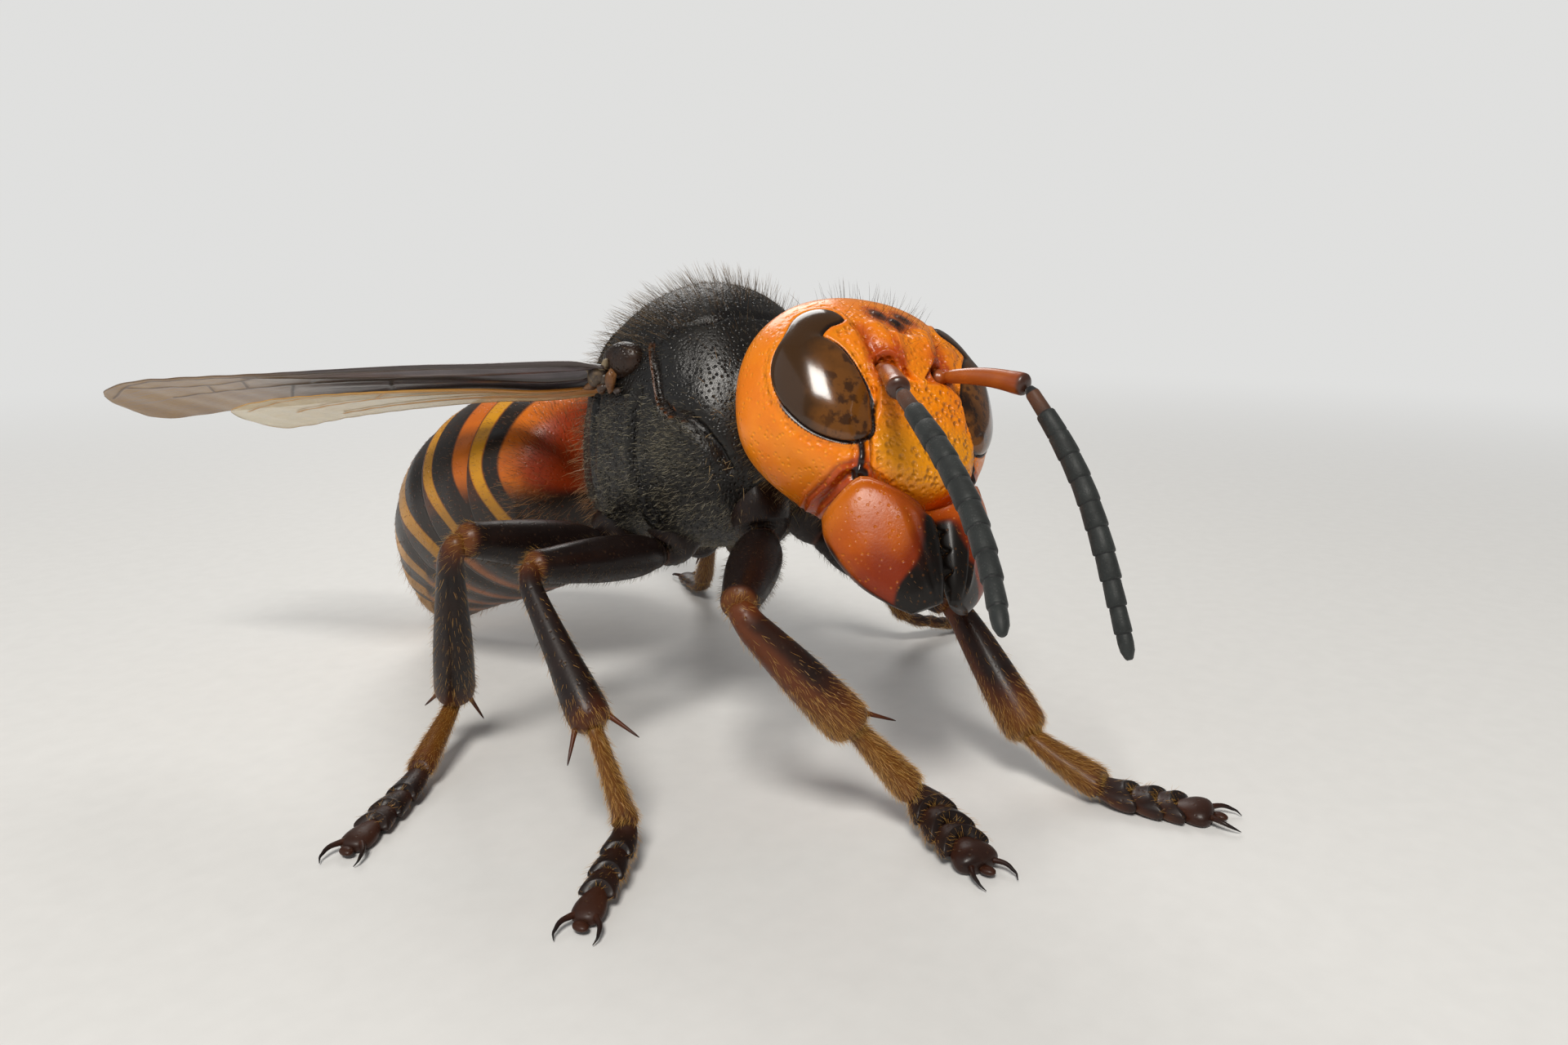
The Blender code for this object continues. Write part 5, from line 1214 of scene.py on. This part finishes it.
def legParts(name):
    spec, form = legs[name], legForm
    hip, knee, ankle, ball, toe = legJoints(spec)
    size, kind = spec["size"], name.split("_")[0]
    femurWay, tibiaWay, firstWay = unit(knee - hip), unit(ankle - knee), unit(ball - ankle)
    base = np.array(thoraxOnFloor @ Vector(spec["base"]))
    tints = legTints
    parts = [
        legTube([base, hip - femurWay * 0.5, hip + femurWay * 0.55], scaled(form["coxa"], size), 44, 60, 0.6,
                tints["coxa"], (0, 1, 0.3)),
        legTube([hip, knee + femurWay * 0.15], scaled(form["femur"], size), 48, 80, 0.5, tints["femur"]),
    ]
    corner = knee + unit(femurWay + tibiaWay) * 0.62
    parts.append(legTube([knee - femurWay * 0.1, corner, corner + tibiaWay, ankle + tibiaWay * 0.05],
                         scaled(form["tibia"][kind], size), 48, 90, 0.6, tints[kind + "Tibia"]))
    beside = unit(np.cross(tibiaWay, firstWay))
    for k in range(form["spurs"][kind]):
        away = beside if k else -beside
        way = unit(tibiaWay * 0.85 + away * 0.5)
        start = ankle - tibiaWay * 0.6 + away * 0.45
        parts.append(legTube([start, start + way * form["spur"] * 0.5, start + way * form["spur"]],
                             form["spurRows"], 12, 18, 0.3, tints["spur"], (0.3, 0.2, 0.9)))
    # the foot: five joints, each a flat cup whose sides reach round the next
    corner = ankle + unit(tibiaWay + firstWay) * 0.4
    whole = softPath([ankle - tibiaWay * 0.15, corner, ball, toe], 0.7, np.linspace(0, 1, 200))
    wide = form["footWide"][kind] * size
    for k in range(5):
        start, end = form["tarsusShare"][k], form["tarsusShare"][k + 1]
        piece = whole[int(max(0.0, start - 0.012) * 199):int(end * 199) + 1]
        key = "first" if k == 0 else "last" if k == 4 else "cup"
        rows = scaled(form[key + "Rows"], form["tarsusRadius"][k] * wide)
        parts.append(legTube(piece, rows, 36, 40 if k == 0 else 24, 0.12, tints[key],
                             flat=form["footFlat"][k], cup=form["cup"][k] * wide))
    toeWay = unit((toe - ball) * np.array([1.0, 1.0, 0.0]))
    sideWay = np.cross(toeWay, [0.0, 0.0, 1.0])
    reach = form["claw"] * (0.75 + 0.25 * wide)
    for side in (-1, 1):
        start = toe - toeWay * 0.45 + sideWay * side * 0.14 + np.array([0, 0, 0.08])
        bend = start + toeWay * reach * 0.35 + sideWay * side * reach * 0.4 + np.array([0, 0, 0.12])
        hook = start + toeWay * reach * 0.8 + sideWay * side * reach * 0.55
        tip = start + toeWay * reach * 1.05 + sideWay * side * reach * 0.42 + np.array([0, 0, -0.24])
        parts.append(legTube([start, bend, hook, tip], form["clawRows"], 14, 24, 0.5, tints["claw"],
                             (0.3, 0.2, 0.9)))
    pad = ellipsoid(toe + toeWay * 0.22 + np.array([0, 0, 0.02]), (0.24, 0.34, 0.16), 14, 20)
    parts.append(plainFields(pad, rust=0.4, amber=0.1, dark=0.3, coatLeg=0.0, coatDark=0.0, smooth=0.4))
    points, faces, fields = joinParts(parts)
    low = points[:, 2] < 0.1
    points[low, 2] = 0.004 + 0.096 * np.exp((points[low, 2] - 0.1) / 0.1)
    clear = smoothStep(0.35, 0.75, points[:, 2])     # no hair may reach below the floor
    fields["coatLeg"] = fields["coatLeg"] * clear
    fields["coatDark"] = fields["coatDark"] * clear
    return points, faces, fields


# Build the body's shells
made = {}
jawPaint = shellPaint("jawShell", jawLook)
scapePaint = shellPaint("feelerScape", scapeLook)
whipPaint = shellPaint("feelerWhip", whipLook)
thoraxPaint = shellPaint("thoraxShell", thoraxLook)
gasterPaint = shellPaint("gasterShell", gasterLook)
legPaint = shellPaint("legShell", legLook)


def finish(piece, nodes):
    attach(piece, "root")
    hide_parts(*nodes)
    made[piece.name] = piece
    return piece


def addShell(name, part, paint, place, nodes):
    points, faces, fields = part
    return finish(makePiece(name, points, faces, paint, place, fields), nodes)


finish(headSkin, ["head"])
for sideName, sign in sides:
    finish(eyes[sideName], ["eye_" + sideName])
    addShell("jaw_" + sideName, jawSurface(sign), jawPaint, headPlace, ["mandible_" + sideName])
    addShell("scape_skin_" + sideName, scapeSurface(sideName), scapePaint, headPlace, ["scape_" + sideName])
    addShell("whip_" + sideName, whipSurface(sideName), whipPaint, headPlace, ["flagellum_" + sideName])
print("feelers and jaws")

addShell("thoraxSkin", thoraxSurface(), thoraxPaint, thoraxPlace, ["thorax"])
shellZero = dict(dark=0.0, pile=0.0, rust=0.17, smooth=0.6)
for sideName, sign in sides:
    cap = ellipsoid(np.array(tegulaForm["centre"]) * [sign, 1, 1], tegulaForm["size"])
    addShell("tegulaCap_" + sideName, plainFields(cap, **shellZero), thoraxPaint, thoraxPlace,
             ["tegula_" + sideName])
wingRootPaint = shellPaint("wingRootShell", wingRootLook)
for sideName, sign in sides:
    knobs = []
    for centre, size, tilt, tints in wingRootForm:
        knob = ellipsoid(np.array(centre) * [sign, 1, 1], size, 20, 26, tilt)
        grain = np.sin(9.0 * knob[0] @ np.array([[1.0, 0.4, 0.2], [0.3, 1.0, 0.5], [0.2, 0.6, 1.0]]))
        knobs.append(plainFields((knob[0] + 0.04 * grain, *knob[1:]), smooth=0.3, **tints))
    points, faces, fields = joinParts(knobs)
    wingRoot = makePiece("wingRoot_" + sideName, points, faces, wingRootPaint, thoraxPlace, fields)
    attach(wingRoot, "root")
neckEnds = headOnFloor @ Vector(neckForm["start"]), thoraxOnFloor @ Vector(neckForm["end"])
neckRings = tubeRings(neckEnds, neckForm["profile"], 40, 24)[0]
addShell("neckSkin", plainFields(closedRings(neckRings), **shellZero), thoraxPaint, floorPlace, ["neck"])
waistRings = tubeRings([waistForm["start"], waistForm["end"]], waistForm["profile"], 40, 30)[0]
addShell("waistSkin", plainFields(closedRings(waistRings), **shellZero), thoraxPaint, thoraxPlace, ["waist"])
addShell("gasterSkin", joinParts([gasterSleeve(k) for k in range(1, 7)]), gasterPaint, thoraxPlace,
         ["gaster_%d" % k for k in range(1, 7)])
print("thorax and gaster")

for kind, look in wingLook.items():
    paint = wingPaint(kind + "Membrane", look)
    for sideName, sign in sides:
        addShell(kind + "Blade_" + sideName, wingSurface(kind, sign), paint, thoraxPlace,
                 [kind + "_" + sideName])
for name in legs:
    nodes = [name + "_" + part for part in ("coxa", "femur", "tibia", "tarsus")]
    addShell(name + "_leg", legParts(name), legPaint, floorPlace, nodes)
print("wings and legs")


# Hair: slim bent hairs set over each skin where its masks say
hairForms = {
    "fine": {"thick": 0.008, "bend": 0.12, "parts": 3},        # shares of a hair's length
    "stiff": {"thick": 0.017, "bend": 0.12, "parts": 2},
    "soft": {"thick": 0.009, "bend": 0.3, "parts": 3},
    "short": {"thick": 0.03, "bend": 0.3, "parts": 2},
}
hairTints = {
    "golden": {"root": (0.07, 0.04, 0.015), "tip": (0.62, 0.44, 0.2), "other": (0.22, 0.13, 0.05)},
    "ash": {"root": (0.016, 0.013, 0.009), "tip": (0.36, 0.31, 0.2), "other": (0.06, 0.05, 0.032)},
    "pale": {"root": (0.3, 0.2, 0.09), "tip": (0.75, 0.6, 0.36), "other": (0.5, 0.33, 0.14)},
    "dust": {"root": (0.05, 0.042, 0.03), "tip": (0.5, 0.44, 0.3), "other": (0.13, 0.11, 0.07)},
    "gilt": {"root": (0.22, 0.09, 0.012), "tip": (0.9, 0.56, 0.15), "other": (0.5, 0.24, 0.05)},
    "umber": {"root": (0.012, 0.008, 0.004), "tip": (0.32, 0.2, 0.085), "other": (0.05, 0.03, 0.014)},
    "russet": {"root": (0.08, 0.03, 0.01), "tip": (0.5, 0.27, 0.11), "other": (0.2, 0.08, 0.03)},
    "brown": {"root": (0.012, 0.006, 0.003), "tip": (0.09, 0.04, 0.014), "other": (0.03, 0.014, 0.006)},
    "amber": {"root": (0.12, 0.05, 0.012), "tip": (0.6, 0.3, 0.08), "other": (0.3, 0.12, 0.025)},
}
hairPatch = 0.003                              # how wide a hair's own patch is on the unwrap of its skin
hairSpread, hairSpin = 0.3, 0.3                # how much hairs differ in length, and turn about themselves


def makeHairObject(name, form):
    # a three-sided hair along Z, one long, that bends towards X
    points, places = [], []
    for t in np.linspace(0.0, 1.0, form["parts"] + 1)[:-1]:
        for k in range(3):
            radius = form["thick"] * (1.0 - 0.6 * t)
            a = tau * k / 3
            points.append((form["bend"] * t * t + radius * np.cos(a), radius * np.sin(a), t))
            places.append((k / 3, t, 0.0))
    points.append((form["bend"], 0.0, 1.0))
    places.append((0.5, 1.0, 0.0))
    faces = [(2, 1, 0)]
    top = 3 * (form["parts"] - 1)
    for k in range(3):
        faces += [(i + k, i + (k + 1) % 3, i + 3 + (k + 1) % 3, i + 3 + k) for i in range(0, top, 3)]
        faces.append((top + k, top + (k + 1) % 3, top + 3))
    mesh = bpy.data.meshes.new(name)
    mesh.from_pydata(points, [], faces)
    spot = mesh.attributes.new("hairPlace", "FLOAT_VECTOR", "POINT")
    spot.data.foreach_set("vector", np.array(places, np.float32).ravel())
    return bpy.data.objects.new(name, mesh)


def makeCoatTree():
    # spreads hairs over a skin by a mask, leans them along its flow, and gives each a patch of the unwrap
    tree = bpy.data.node_groups.new("shortCoat", "GeometryNodeTree")
    kinds = {"Skin": "Geometry", "Mask": "String", "Density": "Float", "Length": "Float", "Spread": "Float",
             "Lean": "Float", "Jitter": "Float", "Spin": "Float", "Seed": "Int", "Hair": "Object",
             "Paint": "Material"}
    sockets = {}
    for key, kind in kinds.items():
        socket = tree.interface.new_socket(key, in_out="INPUT", socket_type="NodeSocket" + kind)
        sockets[key] = socket.identifier
    tree.interface.new_socket("Coat", in_out="OUTPUT", socket_type="NodeSocketGeometry")
    given = tree.nodes.new("NodeGroupInput").outputs
    mask = wire(tree, "GeometryNodeInputNamedAttribute", {"Name": given["Mask"]}, data_type="FLOAT")
    flow = wire(tree, "GeometryNodeInputNamedAttribute", {"Name": "flow"}, data_type="FLOAT_VECTOR")
    density = wire(tree, "ShaderNodeMath", {0: given["Density"], 1: mask.outputs[0]}, operation="MULTIPLY")
    spread = wire(tree, "GeometryNodeDistributePointsOnFaces",
                  {"Mesh": given["Skin"], "Density": density.outputs[0], "Seed": given["Seed"]})
    lean = wire(tree, "ShaderNodeMix", {"Factor": given["Lean"], 4: spread.outputs["Normal"],
                                        5: flow.outputs[0]}, data_type="VECTOR")
    low, high = (-1.0, -1.0, -1.0), (1.0, 1.0, 1.0)
    stray = wire(tree, "FunctionNodeRandomValue", {0: low, 1: high, "Seed": 3}, data_type="FLOAT_VECTOR")
    stray = wire(tree, "ShaderNodeVectorMath", {0: stray.outputs[0], "Scale": given["Jitter"]},
                 operation="SCALE")
    way = wire(tree, "ShaderNodeVectorMath", {0: lean.outputs[1], 1: stray.outputs[0]}, operation="ADD")
    turn = wire(tree, "FunctionNodeAxesToRotation", {0: way.outputs[0], 1: flow.outputs[0]},
                primary_axis="Z", secondary_axis="X")
    spin = wire(tree, "FunctionNodeRandomValue", {2: -np.pi, 3: np.pi, "Seed": 5}, data_type="FLOAT")
    spin = wire(tree, "ShaderNodeMath", {0: spin.outputs[1], 1: given["Spin"]}, operation="MULTIPLY")
    spin = wire(tree, "FunctionNodeAxisAngleToRotation", {"Angle": spin.outputs[0]})
    turn = wire(tree, "FunctionNodeRotateRotation", {0: turn.outputs[0], 1: spin.outputs[0]},
                rotation_space="LOCAL")
    size = wire(tree, "FunctionNodeRandomValue", {2: -1.0, 3: 1.0, "Seed": 7}, data_type="FLOAT")
    size = wire(tree, "ShaderNodeMath", {0: size.outputs[1], 1: given["Spread"], 2: 1.0},
                operation="MULTIPLY_ADD")
    size = wire(tree, "ShaderNodeMath", {0: size.outputs[0], 1: given["Length"]}, operation="MULTIPLY")
    tone = wire(tree, "FunctionNodeRandomValue", {2: 0.0, 3: 1.0, "Seed": 9}, data_type="FLOAT")
    toned = wire(tree, "GeometryNodeStoreNamedAttribute",
                 {"Geometry": spread.outputs["Points"], "Name": "hairTone", "Value": tone.outputs[1]},
                 data_type="FLOAT", domain="POINT")
    hair = wire(tree, "GeometryNodeObjectInfo", {"Object": given["Hair"]})
    grown = wire(tree, "GeometryNodeInstanceOnPoints",
                 {"Points": toned.outputs[0], "Instance": hair.outputs["Geometry"],
                  "Rotation": turn.outputs[0], "Scale": size.outputs[0]})
    real = wire(tree, "GeometryNodeRealizeInstances", {0: grown.outputs[0]})
    skin = wire(tree, "GeometryNodeInputNamedAttribute", {"Name": "skinPlace"}, data_type="FLOAT_VECTOR")
    own = wire(tree, "GeometryNodeInputNamedAttribute", {"Name": "hairPlace"}, data_type="FLOAT_VECTOR")
    patch = wire(tree, "ShaderNodeVectorMath",
                 {0: own.outputs[0], 1: (hairPatch, hairPatch, 0.0), 2: skin.outputs[0]},
                 operation="MULTIPLY_ADD")
    mapped = wire(tree, "GeometryNodeStoreNamedAttribute",
                  {"Geometry": real.outputs[0], "Name": "OFBake", "Value": patch.outputs[0]},
                  data_type="FLOAT2", domain="CORNER")
    painted = wire(tree, "GeometryNodeSetMaterial",
                   {"Geometry": mapped.outputs[0], "Material": given["Paint"]})
    result = tree.nodes.new("NodeGroupOutput").inputs
    tree.links.new(painted.outputs[0], result[0])
    return tree, sockets


def hairPaintOf(name, look):
    # paler towards the tips, and each hair a little different
    paint, tree, shader = newPaint(name, Roughness=0.42, Specular_IOR_Level=0.4)
    along = wire(tree, "ShaderNodeSeparateXYZ",
                 {0: wire(tree, "ShaderNodeAttribute", attribute_name="hairPlace").outputs["Vector"]})
    colour = blendColours(tree, along.outputs[1], (*look["root"], 1), (*look["tip"], 1))
    tone = remap(tree, field(tree, "hairTone"), 0.2, 0.9, 0.0, 0.8)
    colour = blendColours(tree, tone, colour, (*look["other"], 1))
    tree.links.new(colour, shader.inputs["Base Color"])
    return paint


coatTree, coatSockets = makeCoatTree()
grownCoats = {}                                # each coat takes its seed from how many were grown before it
hairObjects = {key: makeHairObject(key + "Hair", form) for key, form in hairForms.items()}
hairPaints = {key: hairPaintOf(key + "HairPaint", look) for key, look in hairTints.items()}


def growCoat(name, skin, slotName, mask, tint, form, count, length, lean, jitter):
    # count is hairs on a square millimetre, and length is in millimetres
    carrier = bpy.data.objects.new(name + "Carrier", skin.data)
    bpy.context.scene.collection.objects.link(carrier)
    grow = carrier.modifiers.new("grow", "NODES")
    grow.node_group = coatTree
    values = {"Mask": mask, "Density": count * 1e6, "Length": length * mm, "Spread": hairSpread, "Lean": lean,
              "Jitter": jitter, "Spin": hairSpin, "Seed": 11 + len(grownCoats), "Hair": hairObjects[form],
              "Paint": hairPaints[tint]}
    for key, value in values.items():
        grow[coatSockets[key]] = value
    ready = carrier.evaluated_get(bpy.context.evaluated_depsgraph_get())
    mesh = bpy.data.meshes.new_from_object(ready)
    bpy.data.objects.remove(carrier)
    kept = ("position", "hairPlace", "hairTone", "OFBake", "material_index", "sharp_face")
    for key in [spot.name for spot in mesh.attributes]:
        if key not in kept and not key.startswith("."):
            mesh.attributes.remove(mesh.attributes[key])
    coat = bpy.data.objects.new(name, mesh)
    bpy.context.scene.collection.objects.link(coat)
    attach(coat, "root")
    grownCoats[name] = coat
    print(name, len(mesh.polygons))


coats = (
    ("backHair", "thoraxSkin", "thorax_shell", "coatTop", "umber", "fine", 13, 0.98, 0.3, 0.12),
    ("backNap", "thoraxSkin", "thorax_shell", "coatTop", "umber", "short", 24, 0.22, 0.55, 0.25),
    ("flankPile", "thoraxSkin", "thorax_shell", "coatFlank", "dust", "short", 80, 0.25, 0.6, 0.4),
    ("chestHair", "thoraxSkin", "thorax_shell", "coatFront", "ash", "short", 12, 0.2, 0.6, 0.3),
    ("collarHair", "thoraxSkin", "thorax_shell", "coatCollar", "pale", "stiff", 4.5, 0.62, 0.1, 0.3),
    ("seamHair", "thoraxSkin", "thorax_shell", "coatSeam", "brown", "stiff", 260, 0.26, 0.3, 0.12),
    ("rearHair", "thoraxSkin", "thorax_shell", "coatRear", "russet", "soft", 22, 0.9, 0.3, 0.25),
    ("waistHair", "gasterSkin", "gaster_bands", "coatFront", "russet", "soft", 26, 0.8, 0.4, 0.25),
    ("gasterNap", "gasterSkin", "gaster_bands", "coatFine", "russet", "short", 11, 0.24, 0.8, 0.2),
    ("tipHair", "gasterSkin", "gaster_bands", "coatTip", "amber", "fine", 12, 0.6, 0.65, 0.25),
    ("crownHair", "headSkin", "head_shell", "coatCrown", "brown", "fine", 9, 0.8, 0.12, 0.12),
    ("napeHair", "headSkin", "head_shell", "coatNape", "golden", "fine", 14, 0.5, 0.35, 0.25),
    ("lipHair", "headSkin", "head_shell", "coatLip", "amber", "short", 90, 0.26, 0.6, 0.3),
    ("faceNap", "headSkin", "head_shell", "coatFace", "amber", "short", 10, 0.12, 0.5, 0.3),
    ("jawNap_right", "jaw_right", "jaw", "coatJaw", "amber", "short", 7, 0.13, 0.5, 0.3),
    ("jawNap_left", "jaw_left", "jaw", "coatJaw", "amber", "short", 7, 0.13, 0.5, 0.3),
)
for row in coats:
    growCoat(row[0], made[row[1]], *row[2:])
for name in legs:
    skin = made[name + "_leg"]
    growCoat(name + "_bristles", skin, "leg_shell", "coatLeg", "gilt", "stiff", 80, 0.33, 0.62, 0.2)
    growCoat(name + "_fringe", skin, "leg_shell", "coatDark", "umber", "stiff", 34, 0.3, 0.45, 0.2)
print("coats")


# Light, floor and camera
studio = {
    "paper": (0.80, 0.80, 0.79), "worldLight": 0.23, "seenGlow": 0.93, "floorRadius": 2.0,
    "fadeStart": 0.035, "fadeEnd": 0.2, "contrast": "Standard",
    "cameraPlace": (39.83, 35.50, 22.40), "look": (-0.765, -0.6035, -0.225), "lens": 26.0,
}


def makeStudio():
    world = bpy.data.worlds.new("paleRoom")
    bpy.context.scene.world = world
    world.use_nodes = True
    sky = world.node_tree
    seen = wire(sky, "ShaderNodeLightPath").outputs["Is Camera Ray"]
    glow = wire(sky, "ShaderNodeMapRange", {0: seen, 3: studio["worldLight"], 4: studio["seenGlow"]})
    sky.nodes["Background"].inputs[0].default_value = (*studio["paper"], 1.0)
    sky.links.new(glow.outputs[0], sky.nodes["Background"].inputs[1])
    bpy.context.scene.view_settings.view_transform = studio["contrast"]
    floorMesh = bpy.data.meshes.new("floor")
    sheet = bmesh.new()
    bmesh.ops.create_circle(sheet, cap_ends=True, segments=96, radius=studio["floorRadius"])
    sheet.to_mesh(floorMesh)
    sheet.free()
    floor = bpy.data.objects.new("floor", floorMesh)
    bpy.context.scene.collection.objects.link(floor)
    paint, tree, shader = newPaint("floorPaper", Roughness=0.6)
    place = objectPlace(tree)
    grain = wire(tree, "ShaderNodeTexNoise", {"Vector": place, "Scale": 900.0, "Detail": 3.0})
    colour = blendColours(tree, grain.outputs[0], (0.74, 0.74, 0.73, 1), (0.8, 0.8, 0.79, 1))
    tree.links.new(colour, shader.inputs["Base Color"])
    far = wire(tree, "ShaderNodeVectorMath", {0: place}, operation="LENGTH").outputs["Value"]
    share = remap(tree, far, studio["fadeStart"], studio["fadeEnd"])
    glow = wire(tree, "ShaderNodeEmission", {0: (*studio["paper"], 1.0), 1: studio["seenGlow"]})
    mix = wire(tree, "ShaderNodeMixShader", {0: share, 1: shader.outputs[0], 2: glow.outputs[0]})
    tree.links.new(mix.outputs[0], tree.nodes["Material Output"].inputs[0])
    floorMesh.materials.append(paint)


def makeLight(name, place, aim, size, power, colour):
    light = bpy.data.lights.new(name, "AREA")
    light.shape = "RECTANGLE"
    light.size, light.size_y = size
    light.energy = power
    light.color = colour
    lamp = bpy.data.objects.new(name, light)
    bpy.context.scene.collection.objects.link(lamp)
    lamp.location = place
    lamp.rotation_euler = (Vector(aim) - Vector(place)).to_track_quat("-Z", "Y").to_euler()


lamps = {
    "key": ((-0.20, -0.12, 0.30), (0, 0, 0.012), (0.11, 0.11), 1.12, (1.0, 0.96, 0.9)),
    "fill": ((-0.34, 0.2, 0.2), (0, 0, 0.012), (0.5, 0.4), 0.3, (0.92, 0.96, 1.0)),
    "back": ((0.22, 0.26, 0.26), (0, 0, 0.012), (0.2, 0.2), 0.55, (1.0, 0.98, 0.95)),
}


def makeCamera():
    view = bpy.data.cameras.new("photoView")
    view.lens, view.sensor_width, view.clip_start = studio["lens"], 36.0, 0.001
    camera = bpy.data.objects.new("photoView", view)
    bpy.context.scene.collection.objects.link(camera)
    look = Vector(studio["look"]).normalized()
    right = look.cross(Vector((0, 0, 1))).normalized()
    up = right.cross(look)
    axes = Matrix((right, up, -look)).transposed().to_4x4()
    at = Matrix.Translation(Vector(studio["cameraPlace"]))
    whole = floorPlace @ at @ axes
    whole.translation = whole.translation * mm
    camera.matrix_world = whole
    bpy.context.scene.camera = camera


makeStudio()
for name, setup in lamps.items():
    makeLight(name, *setup)
makeCamera()
print("studio")
